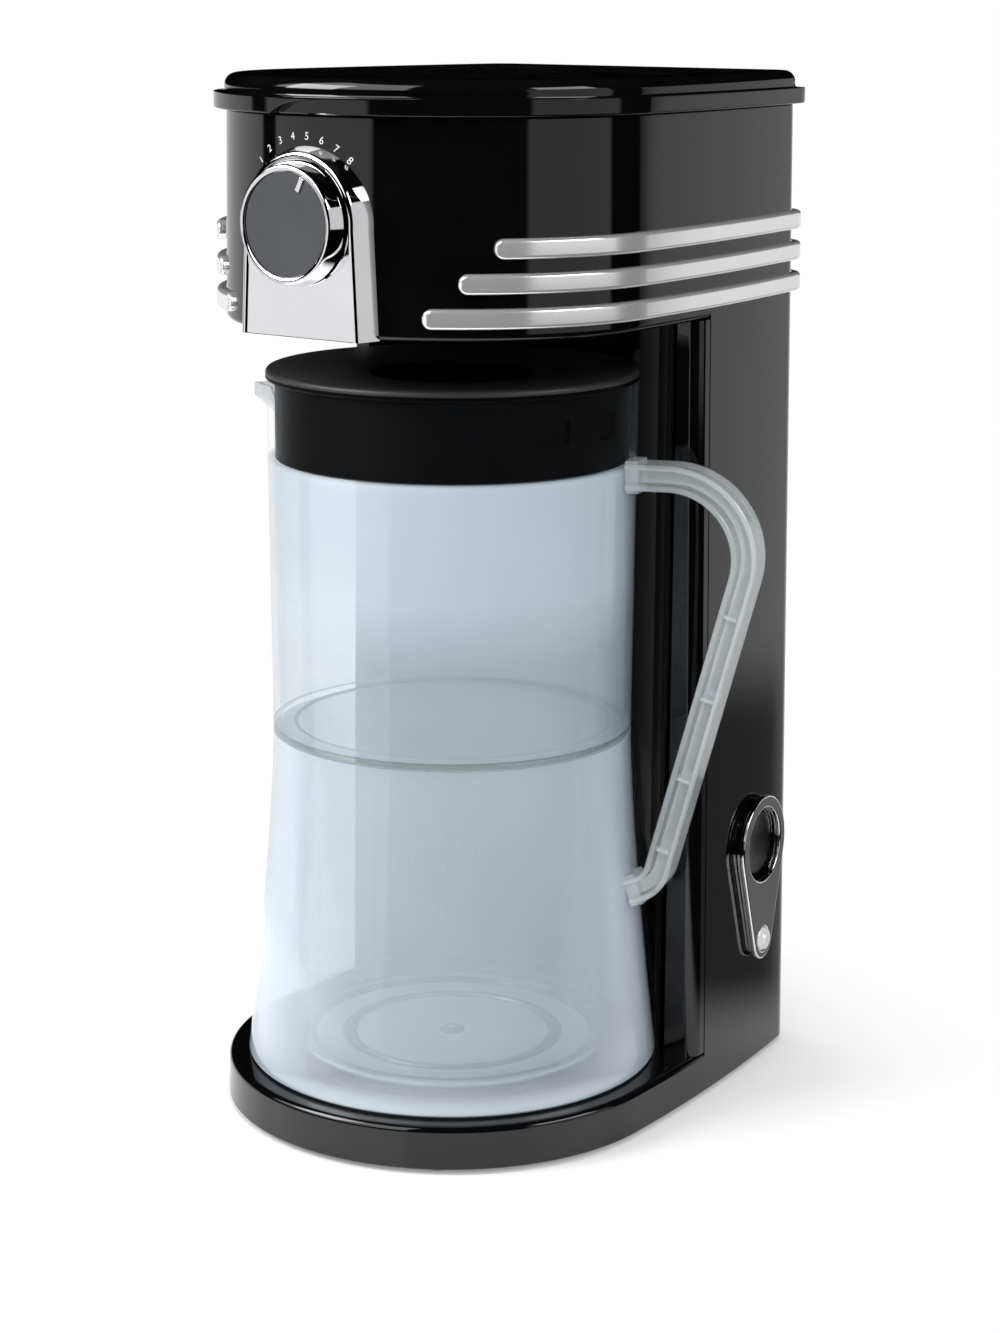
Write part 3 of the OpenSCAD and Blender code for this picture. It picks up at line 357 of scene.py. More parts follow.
def gold_mesh():
    """Woven gold-toned mesh: crossing wires as bump and tone."""
    mat, kit = new_material("gold_mesh")
    waves = []
    for axis in ("X", "Z"):
        wave = kit.add("TexWave", {"Vector": kit.coords, "Scale": 260}, bands_direction=axis)
        waves.append(wave.outputs["Fac"])
    weave = kit.calc("MAXIMUM", *waves)
    kit.put("Base Color", kit.tint(weave, (0.16, 0.11, 0.03), (0.78, 0.6, 0.28)))
    kit.put("Normal", kit.bump(weave, 0.5, 0.0003))
    kit.put("Roughness", kit.vary(80, 0.25, 0.4))
    kit.put("Metallic", 1)
    return mat


# Haze of the clear pieces: heights and alpha
WALL_HAZE = ((150, 0.3), (162, 0.25), (190, 0.26), (215, 0.45), (258.6, 0.47), (259.6, 0.0015),
             (290, 0.0015))
VESSEL_HAZE = ((20, 0.9), (25, 0.9), (27, 0.18), (75, 0.2), (140, 0.24), (155, 0.18))
SKIRT_HAZE = ((19, 0.58), (22, 0.54), (27, 0.28), (34, 0.17), (75, 0.19), (155, 0.26))
HANDLE_HAZE = ((80, 0.36), (300, 0.36))
LENS_HAZE = ((0, 0.72), (400, 0.72))
# Painted dark lines at thick corners of the clear pieces: radius, height, width, strength
VESSEL_LINES = (
    (WAIST_R, RING_Z, 0.9, 0.7),
    (RING_R + 0.6, RING_Z, 1.3, 0.95),
    (VESSEL_FOOT_R - 1, PITCHER_Z + 3, 2.8, 1),
    (VESSEL_FOOT_R - PITCHER_T - 2, PITCHER_Z + 5.6, 2.2, 1),
    (FLOOR_RING_R - 0.4, PITCHER_Z + 5.4, 2.2, 1),
    (FLOOR_RING_R - FLOOR_RING_W + 0.4, PITCHER_Z + 5.4, 2, 0.8),
    (NUB_R - 0.6, PITCHER_Z + 5.6, 2, 1),
)
SKIRT_LINES = ((FOOT_R - PITCHER_T / 2, PITCHER_Z, 1.6, 1),)

# Moulded and plated: dark and light shade, roughness, scale and strength of the grain, metal, specular
MOULDED = {
    "gloss_black": ((0.0016, 0.0016, 0.0018), (0.0026, 0.0026, 0.003), (0.035, 0.065), 420, 0.006),
    "satin_black": ((0.0025, 0.0025, 0.0028), (0.0045, 0.0045, 0.005), (0.24, 0.34), 1800, 0.05, 0, 0.3),
    "black_insert": ((0.012, 0.012, 0.013), (0.02, 0.02, 0.021), (0.35, 0.5), 900, 0.1),
    "rubber": ((0.012, 0.012, 0.012), (0.024, 0.024, 0.024), (0.7, 0.9), 900, 0.25),
    "silicone": ((0.55, 0.53, 0.49), (0.68, 0.66, 0.62), (0.4, 0.55), 900, 0.08),
    "steel": ((0.45, 0.45, 0.47), (0.62, 0.62, 0.64), (0.22, 0.36), 900, 0.06, 1),
    "silver_trim": ((0.94, 0.94, 0.95), (0.96, 0.96, 0.97), (0.17, 0.2), 700, 0.003, 0.75),
    "chrome": ((0.82, 0.82, 0.84), (0.88, 0.88, 0.9), (0.03, 0.06), 300, 0.004, 1),
    "dial_grey": ((0.046, 0.049, 0.055), (0.056, 0.059, 0.065), (0.3, 0.4), 2200, 0.05),
    "natural_plastic": ((0.66, 0.63, 0.56), (0.78, 0.75, 0.68), (0.38, 0.5), 900, 0.05),
    "tank_plastic": ((0.5, 0.55, 0.58), (0.6, 0.65, 0.68), (0.3, 0.42), 900, 0.05),
    "lamp_amber": ((0.55, 0.2, 0.04), (0.75, 0.32, 0.08), (0.2, 0.3), 900, 0.02),
    "aluminium": ((0.5, 0.51, 0.52), (0.66, 0.67, 0.68), (0.35, 0.5), 900, 0.12, 1),
    "brass": ((0.5, 0.38, 0.16), (0.66, 0.52, 0.26), (0.25, 0.38), 900, 0.02, 1),
    "print_white": ((0.72, 0.72, 0.74), (0.8, 0.8, 0.82), (0.35, 0.45), 900, 0.02),
}
MATERIALS = {name: moulded(name, *looks) for name, looks in MOULDED.items()}
MATERIALS["gold_mesh"] = gold_mesh()
MATERIALS["clear_plastic"] = clear_plastic("clear_plastic", (0.68, 0.77, 0.85), WALL_HAZE, 0.65,
                                           edge_power=1.3)
MATERIALS["clear_lens"] = clear_plastic("clear_lens", (0.9, 0.9, 0.89), LENS_HAZE, 0.95, rough=0.02)
VESSEL_CLEAR = clear_plastic("vessel_clear", (0.61, 0.74, 0.75), VESSEL_HAZE, 0.7, VESSEL_LINES,
                             edge_painted_shade=0.9, edge_power=1.7)
SKIRT_CLEAR = clear_plastic("skirt_clear", (0.75, 0.82, 0.91), SKIRT_HAZE, 0.9, SKIRT_LINES, edge_power=0.7)
HANDLE_CLEAR = clear_plastic("handle_clear", (0.74, 0.79, 0.81), HANDLE_HAZE, 0.8, edge_painted_shade=0.5)
CAP_PAINTED_LIGHT = cap_painted_light()


# Mesh helpers
def arc(cx, cy, r, a0, a1, steps):
    """Points along an arc, in degrees from a0 to a1."""
    turns = [radians(a0 + (a1 - a0) * i / steps) for i in range(steps + 1)]
    return [(cx + r * cos(a), cy + r * sin(a)) for a in turns]


def vertex(bm, x, y, z):
    return bm.verts.new(Vector((x, y, z)) * MM)


def skin(bm, row_a, row_b, closed):
    """Quads between two rows of vertices."""
    count = len(row_a)
    for j in range(count if closed else count - 1):
        k = (j + 1) % count
        bm.faces.new((row_a[j], row_b[j], row_b[k], row_a[k]))


def skins(bm, rows):
    """Quads along closed rows of vertices, and a face over each end."""
    for now, after in zip(rows, rows[1:]):
        skin(bm, now, after, True)
    bm.faces.new(rows[0])
    bm.faces.new(rows[-1])


def weld(bm, distance):
    bmesh.ops.remove_doubles(bm, verts=bm.verts, dist=distance)


def placed(matrix):
    """A frame in millimetres as one in metres."""
    moved = matrix.copy()
    moved.translation *= MM
    return moved


def link_object(name, data):
    obj = bpy.data.objects.new(name, data)
    scene.collection.objects.link(obj)
    return obj


def to_mesh(bm, name):
    mesh = bpy.data.meshes.new(name)
    bm.to_mesh(mesh)
    bm.free()
    return mesh


def final_mesh(obj, *helpers):
    """The mesh of an object with its modifiers or curve worked out. The object and its helpers go."""
    depsgraph = bpy.context.evaluated_depsgraph_get()
    mesh = bpy.data.meshes.new_from_object(obj.evaluated_get(depsgraph))
    for used in (obj, *helpers):
        bpy.data.objects.remove(used)
    return mesh


def piece(bm, name, body, slot, nodes=(), **looks):
    """Turns a bmesh into a smooth-shaded object that rides on a body and stands for nodes."""
    weld(bm, WELD)
    bmesh.ops.recalc_face_normals(bm, faces=bm.faces)
    return mesh_piece(to_mesh(bm, name), name, body, slot, nodes, **looks)


def mesh_piece(mesh, name, body, slot, nodes=(), material=None, sharp=30, at=None):
    """The same for a ready mesh, moved first to a frame in millimetres."""
    if at is not None:
        mesh.transform(placed(at))
    mesh.shade_smooth()
    mesh.set_sharp_from_angle(angle=radians(sharp))
    mesh.materials.clear()
    mesh.materials.append(material or MATERIALS[slot])
    obj = link_object(name, mesh)
    obj.modifiers.new("normals", "WEIGHTED_NORMAL").keep_sharp = True
    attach(obj, body)
    if nodes:
        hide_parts(*nodes)
    return obj


def spun(profile, name, body, slot, nodes, steps=SPIN, **looks):
    """A piece of an (r, z) profile spun round Z. A profile that has no ends on the axis is closed."""
    bm = bmesh.new()
    turns = [2 * pi * i / steps for i in range(steps)]
    rows = [[vertex(bm, r * cos(a), r * sin(a), z) for r, z in profile] for a in turns]
    on_axis = profile[0][0] == 0 and profile[-1][0] == 0
    for i in range(steps):
        skin(bm, rows[i], rows[(i + 1) % steps], not on_axis)
    weld(bm, WELD)
    bmesh.ops.dissolve_degenerate(bm, edges=bm.edges, dist=WELD / 10)
    piece(bm, name, body, slot, nodes, **looks)


def prism(bm, outline, depth, matrix):
    """A flat outline pushed out to a solid."""
    floor = [bm.verts.new((matrix @ Vector((x, y, 0))) * MM) for x, y in outline]
    roof = [bm.verts.new((matrix @ Vector((x, y, depth))) * MM) for x, y in outline]
    skins(bm, [floor, roof])


def plate_mesh(outlines, thickness, rounding):
    """A flat plate with rounded edges from an outline and holes, lying from z 0 up."""
    curve = bpy.data.curves.new("plate", "CURVE")
    curve.dimensions = "2D"
    curve.fill_mode = "BOTH"
    curve.extrude = (thickness / 2 - rounding) * MM
    curve.bevel_depth = rounding * MM
    curve.bevel_resolution = 4
    curve.offset = -rounding * MM
    for outline in outlines:
        spline = curve.splines.new("POLY")
        spline.points.add(len(outline) - 1)
        spline.use_cyclic_u = True
        for point, (x, y) in zip(spline.points, outline):
            point.co = (x * MM, y * MM, 0, 1)
    mesh = final_mesh(link_object("plate", curve))
    mesh.transform(shift(0, 0, thickness / 2 * MM))
    return mesh


def cut_holes(mesh, cutters):
    """The mesh with round holes of length HOLE_L: each cutter is a frame about its middle and a radius."""
    host = link_object("host", mesh)
    tools = []
    for matrix, radius in cutters:
        bm = bmesh.new()
        bmesh.ops.create_cone(bm, cap_ends=True, segments=72, radius1=radius * MM, radius2=radius * MM,
                              depth=HOLE_L * MM)
        bm.transform(placed(matrix))
        tool = link_object("cutter", to_mesh(bm, "cutter"))
        cut = host.modifiers.new("cut", "BOOLEAN")
        cut.object = tool
        cut.solver = "EXACT"
        tools.append(tool)
    return final_mesh(host, *tools)


# Plan of the housing: stations along its line, each a point and its outward direction
def turn(cx, cy, r, a0, a1, steps):
    """Stations along an arc, in radians from a0 to a1."""
    turns = [a0 + (a1 - a0) * i / steps for i in range(steps + 1)]
    return [(cx + r * cos(a), cy + r * sin(a), cos(a), sin(a)) for a in turns]


def mirrored(stations):
    return [(-x, y, -nx, ny) for x, y, nx, ny in reversed(stations)]


def rear_line(places):
    return [(x, REAR_Y, 0, 1) for x in places]


FRONT_HALF = (
    turn(0, 0, BASE_R, -QUARTER, 0, FRONT_STEPS)
    + turn(SIDE_CX, 0, SIDE_R, 0, TOWER_A, SIDE_STEPS)[1:]
)
CORNER = turn(CORNER_X, CORNER_Y, CORNER_R, SIDE_A, QUARTER, CORNER_STEPS)
REAR_HALF = (
    turn(SIDE_CX, 0, SIDE_R, TOWER_A, SIDE_A, SIDE_STEPS)
    + CORNER[1:]
    + rear_line([CORNER_X * (1 - i / 4) for i in range(1, 5)])
)
FRONT = mirrored(FRONT_HALF)[:-1] + FRONT_HALF
REAR = REAR_HALF + mirrored(REAR_HALF)[1:]


def place(bm, station, out, z):
    x, y, nx, ny = station
    return vertex(bm, x + nx * out, y + ny * out, z)


def hinge_ear(bm, x):
    """One of the housing's two ears that carry the lid's pin."""
    wall_y = REAR_Y - DRAFT - 1
    round_end = arc(PIN_Y, PIN_Z, KNUCKLE_R, -50, 160, 20)
    outline = [(wall_y, PIN_Z - 18), *round_end, (wall_y, PIN_Z - KNUCKLE_R)]
    prism(bm, outline, EAR_W, shift(x, 0, 0) @ ACROSS)


def shell_mesh():
    """Walls of base, tower and head, open in front of the bay, with holes for switch, lamp and gland."""
    lip = inset(DECK_Z)
    brow = inset(HEAD_Z)
    crown = inset(TOP_Z)
    low_out = [(-inset(SKIRT_Z) - SOFT, SKIRT_Z), (-inset(SKIRT_Z), SKIRT_Z + SOFT),
               (-inset(DECK_Z - EDGE_R), DECK_Z - EDGE_R)]
    low_round = arc(-lip - EDGE_R, DECK_Z - EDGE_R, EDGE_R, 0, 90, 8)[1:]
    ledge = [(-lip - LEDGE, DECK_Z), (-lip - LEDGE, DECK_Z - DECK_T)]
    low_in = [(-lip - WALL, DECK_Z - DECK_T), (-inset(SKIRT_Z) - WALL, SKIRT_Z)]
    high_out = [(-inset(HEAD_Z + EDGE_R), HEAD_Z + EDGE_R), (-inset(TOP_Z - SOFT), TOP_Z - SOFT),
                (-crown - SOFT, TOP_Z), (-crown - WALL, TOP_Z)]
    high_in = [(-brow - WALL, HEAD_Z + EDGE_R)]
    under = [(-brow - WALL, HEAD_Z)]
    high_round = arc(-brow - EDGE_R, HEAD_Z + EDGE_R, EDGE_R, -90, 0, 8)[:-1]
    bm = bmesh.new()

    def rows(station, *groups):
        return [[place(bm, station, out, z) for out, z in group] for group in groups]

    # Base: a outside, b round, c ledge, d inside. Head: e outside, f inside, g underside, h round
    front = []
    for station in FRONT:
        a, b, c, d = rows(station, low_out, low_round, ledge, low_in)
        e, f, g, h = rows(station, high_out, high_in, under, high_round)
        front.append({"base": a + b + c + d, "head": e + f + g + h, "tower": a + e + f + d,
                      "end": a[-1:] + b + c + d[:1] + f + g + h + e[:1]})
    rear = [front[-1]["tower"]]
    for station in REAR[1:-1]:
        a, e, f, d = rows(station, low_out, high_out, high_in, low_in)
        rear.append(a + e + f + d)
    rear.append(front[0]["tower"])
    for now, after in zip(front, front[1:]):
        skin(bm, now["base"], after["base"], True)
        skin(bm, now["head"], after["head"], True)
    for now, after in zip(rear, rear[1:]):
        skin(bm, now, after, True)
    for end in (front[0], front[-1]):
        bm.faces.new(end["end"])
    bmesh.ops.recalc_face_normals(bm, faces=bm.faces)
    gland = shift(GLAND_X, REAR_Y, GLAND_Z) @ Matrix.Rotation(QUARTER, 4, "X")
    holes = [(ON_SIDE, SWITCH_HOLE_R), (AT_LAMP, LAMP_HOLE_R), (gland, GLAND_R)]
    return cut_holes(to_mesh(bm, "housing_shell"), holes)


def add_deck(bm):
    """The deck under the pitcher, grown into the ledge of the base."""
    ledge = -inset(DECK_Z) - LEDGE
    back_r = BAY_R + PANEL_T
    deck = [(x + nx * ledge, y + ny * ledge) for x, y, nx, ny in FRONT]
    rear_a = degrees(asin(deck[-1][1] / back_r)) + 4
    deck += arc(0, 0, back_r, rear_a, 180 - rear_a, 40)
    prism(bm, deck, DECK_T, shift(0, 0, DECK_Z - DECK_T))
    weld(bm, WELD)
    bm.normal_update()
    # The wall between deck and ledge goes, so that they are one
    upright = [face for face in bm.faces if abs(face.normal.z) < 0.1]
    between = [face for face in upright if sum(len(edge.link_faces) > 2 for edge in face.edges) > 1]
    bmesh.ops.delete(bm, geom=between, context="FACES")


def housing_shell():
    """Base, tower and head as one gloss shell, with the deck and the lid's ears."""
    bm = bmesh.new()
    bm.from_mesh(shell_mesh())
    add_deck(bm)
    for x in (EAR_X, -EAR_X - EAR_W):
        hinge_ear(bm, x)
    piece(bm, "housing_shell", "machine", "gloss_black", ("base_housing", "tower_housing", "head_housing"))


def bay_wall():
    """Hollow wall behind the pitcher, with a rounded flank at each side."""
    tx, ty, nx, ny = FRONT_HALF[-1]
    start = -SEAM - STRIP_D

    def along(u, v):
        """A place by its distance out from the tower's front edge and along the side."""
        return tx + u * nx - v * ny, ty + u * ny + v * nx

    px, py = along(0, start)
    reach = px * nx + py * ny
    meet = -reach + sqrt(reach ** 2 - (px ** 2 + py ** 2 - BAY_R ** 2))
    mx, my = along(meet, start)
    meet_a = degrees(atan2(my, mx))
    back_y = along(0, -SEAM)[1]
    back_a = degrees(asin(back_y / (BAY_R + PANEL_T)))
    hollow = arc(0, 0, BAY_R, 90, meet_a, 40)
    nose = arc(-STRIP_R, start + STRIP_R, STRIP_R, -90, 0, 8) + [(0, -SEAM)]
    back = arc(0, 0, BAY_R + PANEL_T, back_a, 90, 40)
    bm = bmesh.new()
    for side in (1, -1):
        rings = []
        for z in (DECK_Z, HEAD_Z - 2 * HAIR):
            flank = [along(u - inset(z), v) for u, v in nose]
            rings.append([vertex(bm, side * x, y, z) for x, y in hollow + flank + back])
        skins(bm, rings)
    weld(bm, 10 * WELD)
    # Where the halves meet, the faces in the middle plane go
    doubled = [face for face in bm.faces if all(abs(v.co.x) < 10 * WELD for v in face.verts)]
    bmesh.ops.delete(bm, geom=doubled, context="FACES_ONLY")
    piece(bm, "bay_wall", "machine", "gloss_black", ("bay_panel",))


# Lid of the machine
LID_GAP = 0.4
RIM_H = 6
RIM_X = 4.7 - DRAFT
CAP_X = RIM_X - 4
CAP_R = 4.5
LID_T = 2.5
LID_IN = 14
NOTCH_W = 30
NOTCH_H = 4.5
NOTCH_STEPS = 24
RIM_EDGE = 0.8
EAR_ROOM = 0.6


def lid_profile(low, rim):
    """Section of the lid from its top over step and rim to its inside: distances out and heights."""
    z0 = TOP_Z + LID_GAP
    top = z0 + RIM_H
    edge = min(RIM_EDGE, rim - CAP_X)
    centre = (CAP_X - CAP_R, LID_Z - CAP_R)
    cap = [(-LID_IN, LID_Z), *reversed(arc(*centre, CAP_R, 0, 90, 10))]
    step = [(CAP_X, top + 0.9), (CAP_X + 0.25, top + 0.35), (min(rim, CAP_X + 0.9), top + 0.1)]
    band_out = [(rim - HAIR, top - HAIR), (rim, top - 0.6), *arc(rim - edge, low + edge, edge, 0, -90, 5)]
    under = [(CAP_X - HAIR, low), (CAP_X - 2 * HAIR, min(low, z0 + 0.5)), (CAP_X - 0.6, z0),
             (CAP_X - LID_T, z0)]
    inside = [*arc(*centre, CAP_R - LID_T, 0, 90, 4), (-LID_IN, LID_Z - LID_T)]
    return cap + step + band_out + under + inside


def lid_shell():
    """Hinged lid: rim band with a finger notch, stepped cap with a rounded edge, rear knuckle."""
    notch_r = (NOTCH_W ** 2 / 4 + NOTCH_H ** 2) / (2 * NOTCH_H)
    notch_a = asin(NOTCH_W / 2 / BASE_R) - QUARTER
    cut_from, cut_to = EAR_X - EAR_ROOM, EAR_X + EAR_W + EAR_ROOM
    half = (
        turn(0, 0, BASE_R, -QUARTER, notch_a, NOTCH_STEPS)
        + turn(0, 0, BASE_R, notch_a, 0, FRONT_STEPS)[1:]
        + turn(SIDE_CX, 0, SIDE_R, 0, SIDE_A, 2 * SIDE_STEPS)[1:]
        + CORNER[1:]
        + rear_line([CORNER_X * 0.7, cut_to + 0.01, cut_to, cut_from, cut_from - 0.01, 9, 0])
    )
    bm = bmesh.new()
    rows = []
    for station in half + mirrored(half)[1:-1]:
        x, y = station[:2]
        low = TOP_Z + LID_GAP
        if y < 0 and abs(x) <= NOTCH_W / 2:
            low += sqrt(notch_r ** 2 - x ** 2) - notch_r + NOTCH_H
        rim = RIM_X
        if y >= REAR_Y and cut_from <= abs(x) <= cut_to:
            rim = CAP_X + 2 * HAIR
        rows.append([place(bm, station, out, z) for out, z in lid_profile(low, rim)])
    for i, row in enumerate(rows):
        skin(bm, row, rows[(i + 1) % len(rows)], False)
    bm.faces.new([row[0] for row in rows])
    bm.faces.new([row[-1] for row in rows])
    knuckle = arc(PIN_Y, PIN_Z, KNUCKLE_R, 0, 352.5, 47)
    prism(bm, knuckle, KNUCKLE_L, shift(-KNUCKLE_L / 2, 0, 0) @ ACROSS)
    piece(bm, "lid_shell", "lid", "gloss_black", ("top_lid",))


# Silver bands
BAND_H = 7.2
BAND_T = 3.5
BAND_Z = HEAD_Z + 8.3
BAND_PITCH = 12.2
BAND_A = 30.2
BAND_STAGGER = 8.4
BAND_GAP = 0.25
BAND_EDGE = 1.5
TIP_STEPS = 8
TIP_LOW = 0.55
REAR_STOP = radians(75)


def band(bm, index):
    """One band on the right side, from its round tip to its end on the rear corner."""
    z = BAND_Z + index * BAND_PITCH
    tip = radians(BAND_A + index * BAND_STAGGER - 90)
    tip_r = BAND_H / 2
    stations = []
    for i in range(TIP_STEPS + 1):
        grown = QUARTER * i / TIP_STEPS
        a = tip + tip_r * (1 - cos(grown)) / BASE_R
        stations.append((turn(0, 0, BASE_R, a, a, 1)[0], max(0.03, sin(grown))))
    body = turn(0, 0, BASE_R, tip + tip_r / BASE_R, 0, 40)[1:]
    body += turn(SIDE_CX, 0, SIDE_R, 0, SIDE_A, 16)[1:]
    body += turn(CORNER_X, CORNER_Y, CORNER_R, SIDE_A, REAR_STOP, 14)[1:]
    stations += [(station, 1.0) for station in body]
    foot = -inset(z) + BAND_GAP
    rows = []
    for station, share in stations:
        half = BAND_H / 2 * share
        edge = BAND_EDGE * share
        face = foot + BAND_T * (TIP_LOW + (1 - TIP_LOW) * share)
        outline = [(foot, z - half), *arc(face - edge, z - half + edge, edge, -90, 0, 6),
                   *arc(face - edge, z + half - edge, edge, 0, 90, 6), (foot, z + half)]
        rows.append([place(bm, station, out, height) for out, height in outline])
    skins(bm, rows)


def trim_bands():
    """Three bands on each side. They stay out of mirror images, where their tips would be bright dots."""
    for side, sign in (("right", 1), ("left", -1)):
        bm = bmesh.new()
        for index in range(3):
            band(bm, index)
        bmesh.ops.scale(bm, vec=(sign, 1, 1), verts=bm.verts)
        bands = piece(bm, "bands_" + side, "machine", "silver_trim", ("trim_bands_" + side,), sharp=45)
        bands.visible_glossy = False


# Strength dial
KNOB_BACK = PLATE_FRONT + 0.5
KNOB_H = 6.6
KNOB_FRONT = KNOB_BACK + KNOB_H
KNOB_R = 20.8
KNOB_FLARE = 1.3
KNOB_BORE = 4
FACE_R = 18.6
FACE_SINK = 0.7
FACE_T = 1
POINTER_A = radians(26.5)
POINTER_W = 2
POINTER_L = 5.15
POINTER_T = 0.6
FIGURES = 8
FIGURE_R = 30.2
FIGURE_X = -2.5
FIGURE_SIZE = 3.9
FIGURE_T = 0.06
FIGURE_FROM = -46.1
FIGURE_STEP = 12.7
# Edge of the plate from its front inwards: growth of its outline and depth behind its front
PLATE_EDGE = ((0.2, 1.1), (-0.35, 0.35), (-1.1, 0), (-1.9, 0), (-2.3, 0.35), (-2.5, 0.7))
PLATE_SINK = 0.4


def plate_outline(grow):
    """Round top that runs into two flared sides, in the head's front view."""
    foot = HEAD_Z - DIAL_Z
    lean = degrees(atan2(PLATE_FOOT - PLATE_R, -foot))
    top = arc(0, 0, PLATE_R + grow, -lean, 180 + lean, 64)
    return [(PLATE_FOOT + grow, foot), *top, (-PLATE_FOOT - grow, foot)]


def head_front(x, z):
    """Y of the head's round front at a place in its front view."""
    return -sqrt((BASE_R - inset(z)) ** 2 - x ** 2)


def dial_plate():
    """Chrome plate with a raised edge, fitted to the round head."""
    bm = bmesh.new()
    rows = [[vertex(bm, x, head_front(x, y + DIAL_Z) + PLATE_SINK, y + DIAL_Z)
             for x, y in plate_outline(PLATE_FLARE)]]
    for grow, depth in PLATE_EDGE:
        rows.append([vertex(bm, x, depth - PLATE_FRONT, y + DIAL_Z) for x, y in plate_outline(grow)])
    skins(bm, rows)
    piece(bm, "dial_plate_chrome", "machine", "chrome", ("dial_plate",), sharp=40)


def knob_ring():
    """Chrome ring of the knob: flared wall, rounded front edge, bevel down to the face."""
    floor = KNOB_FRONT - FACE_SINK - FACE_T
    wide = KNOB_R + KNOB_FLARE
    back = [(KNOB_BORE, KNOB_BACK + 1), (wide - 3, KNOB_BACK + 1), (wide - 2.4, KNOB_BACK)]
    wall = [(wide - 0.3, KNOB_BACK), (wide, KNOB_BACK + 0.4), (wide - 0.25, KNOB_BACK + 1.6),
            (KNOB_R + 0.35, KNOB_FRONT - 1.6), *arc(KNOB_R - 0.9, KNOB_FRONT - 1.1, 1.1, 8, 90, 8)]
    bevel = [(FACE_R + 0.75, KNOB_FRONT - HAIR), (FACE_R + 0.25, KNOB_FRONT - 0.35), (FACE_R + 0.1, floor),
             (KNOB_BORE, floor)]
    spun(back + wall + bevel, "knob_ring", "dial", "chrome", ("dial_knob",), at=ON_FRONT)


def knob_face():
    """Grey face in the knob, and the pointer on it."""
    top = KNOB_FRONT - FACE_SINK
    low = top - FACE_T + HAIR
    face = [(0, low), (FACE_R - 2 * HAIR, low), (FACE_R - HAIR, top - 0.3), (FACE_R - 0.35, top - HAIR),
            (FACE_R - 1.2, top), (0, top)]
    spun(face, "knob_face", "dial", "dial_grey", ("dial_face",), at=ON_FRONT)

    half = POINTER_W / 2
    tip = FACE_R - 0.25
    bar = [(-half, tip - POINTER_L), (half, tip - POINTER_L), (half, tip), (-half, tip)]
    on_face = ON_FRONT @ shift(0, 0, top) @ Matrix.Rotation(-POINTER_A, 4, "Z")
    mesh_piece(plate_mesh([bar], POINTER_T, 0.2), "knob_pointer", "dial", "chrome", ("dial_pointer",),
               at=on_face)


def numerals():
    """Printed figures 1 to 8 on the round head, along an arc above the knob."""
    for i in range(FIGURES):
        turned = -radians(FIGURE_FROM + FIGURE_STEP * i)
        text = bpy.data.curves.new("figure", "FONT")
        text.body = str(i + 1)
        text.size = FIGURE_SIZE * MM
        text.extrude = FIGURE_T / 2 * MM
        text.align_x = "CENTER"
        text.align_y = "CENTER"
        mesh = final_mesh(link_object("figure", text))
        spin = Matrix.Rotation(turned, 4, "Z")
        for v in mesh.vertices:
            p = spin @ (v.co / MM)
            x = p.x + FIGURE_X - FIGURE_R * sin(turned)
            z = p.y + DIAL_Z + FIGURE_R * cos(turned)
            v.co = Vector((x, head_front(x, z) - FIGURE_T - p.z, z)) * MM
        mesh_piece(mesh, "figure_%d" % (i + 1), "machine", "natural_plastic",
                   material=MATERIALS["print_white"])


# Power switch
BEZEL_R = 20.3
BEZEL_TIP_R = 8.3
BEZEL_T = 4
BEZEL_RIM = 2.1
BEZEL_NECK = 2
OPENING_R = 15.3
BUTTON_R = 13
BUTTON_FACE = 0.8
BUTTON_DEEP = 5.5
BUTTON_EDGE = 0.7
BOWL_R = BUTTON_R - 1.4
BOWL_DEEP = 0.9
BOWL_STEPS = 8
LENS_R = 5
LENS_DEEP = 3.5
LENS_SIDES = 12


def switch_bezel():
    """Chrome teardrop bezel: a rim over a narrower neck."""
    lean = degrees(asin((BEZEL_R - BEZEL_TIP_R) / LAMP_DROP))
    opening = arc(0, 0, OPENING_R, 0, 355, 71)
    lamp_hole = arc(0, -LAMP_DROP, LAMP_HOLE_R, 0, 352, 44)
    middle = BEZEL_T - BEZEL_RIM
    neck = (0.1, middle, BEZEL_NECK, 0.1)
    rim = (middle, BEZEL_T + 0.1, 0, 0.7)
    bm = bmesh.new()
    for low, high, shrink, rounding in (neck, rim):
        outer = arc(0, 0, BEZEL_R - shrink, -lean, 180 + lean, 60)
        outer += arc(0, -LAMP_DROP, BEZEL_TIP_R - shrink, 180 + lean, 360 - lean, 30)
        layer = plate_mesh([outer, opening, lamp_hole], high - low, rounding)
        layer.transform(shift(0, 0, low * MM))
        bm.from_mesh(layer)
    mesh_piece(to_mesh(bm, "bezel"), "switch_bezel_chrome", "machine", "chrome", ("switch_bezel",), sharp=35,
               at=ON_SIDE)


def push_button():
    """Hollowed push button."""
    back = BUTTON_FACE - BUTTON_DEEP
    shares = [i / BOWL_STEPS for i in range(BOWL_STEPS + 1)]
    bowl = [(BOWL_R * (1 - s), BUTTON_FACE - BOWL_DEEP * (1 - (1 - s) ** 2)) for s in shares]
    edge = arc(BUTTON_R - BUTTON_EDGE, BUTTON_FACE - BUTTON_EDGE, BUTTON_EDGE, 20, 90, 5)
    profile = [(0, back), (BUTTON_R, back), (BUTTON_R, BUTTON_FACE - 0.8), *edge, *bowl]
    spun(profile, "push_button", "button", "satin_black", ("power_button",), 96, at=ON_SIDE)


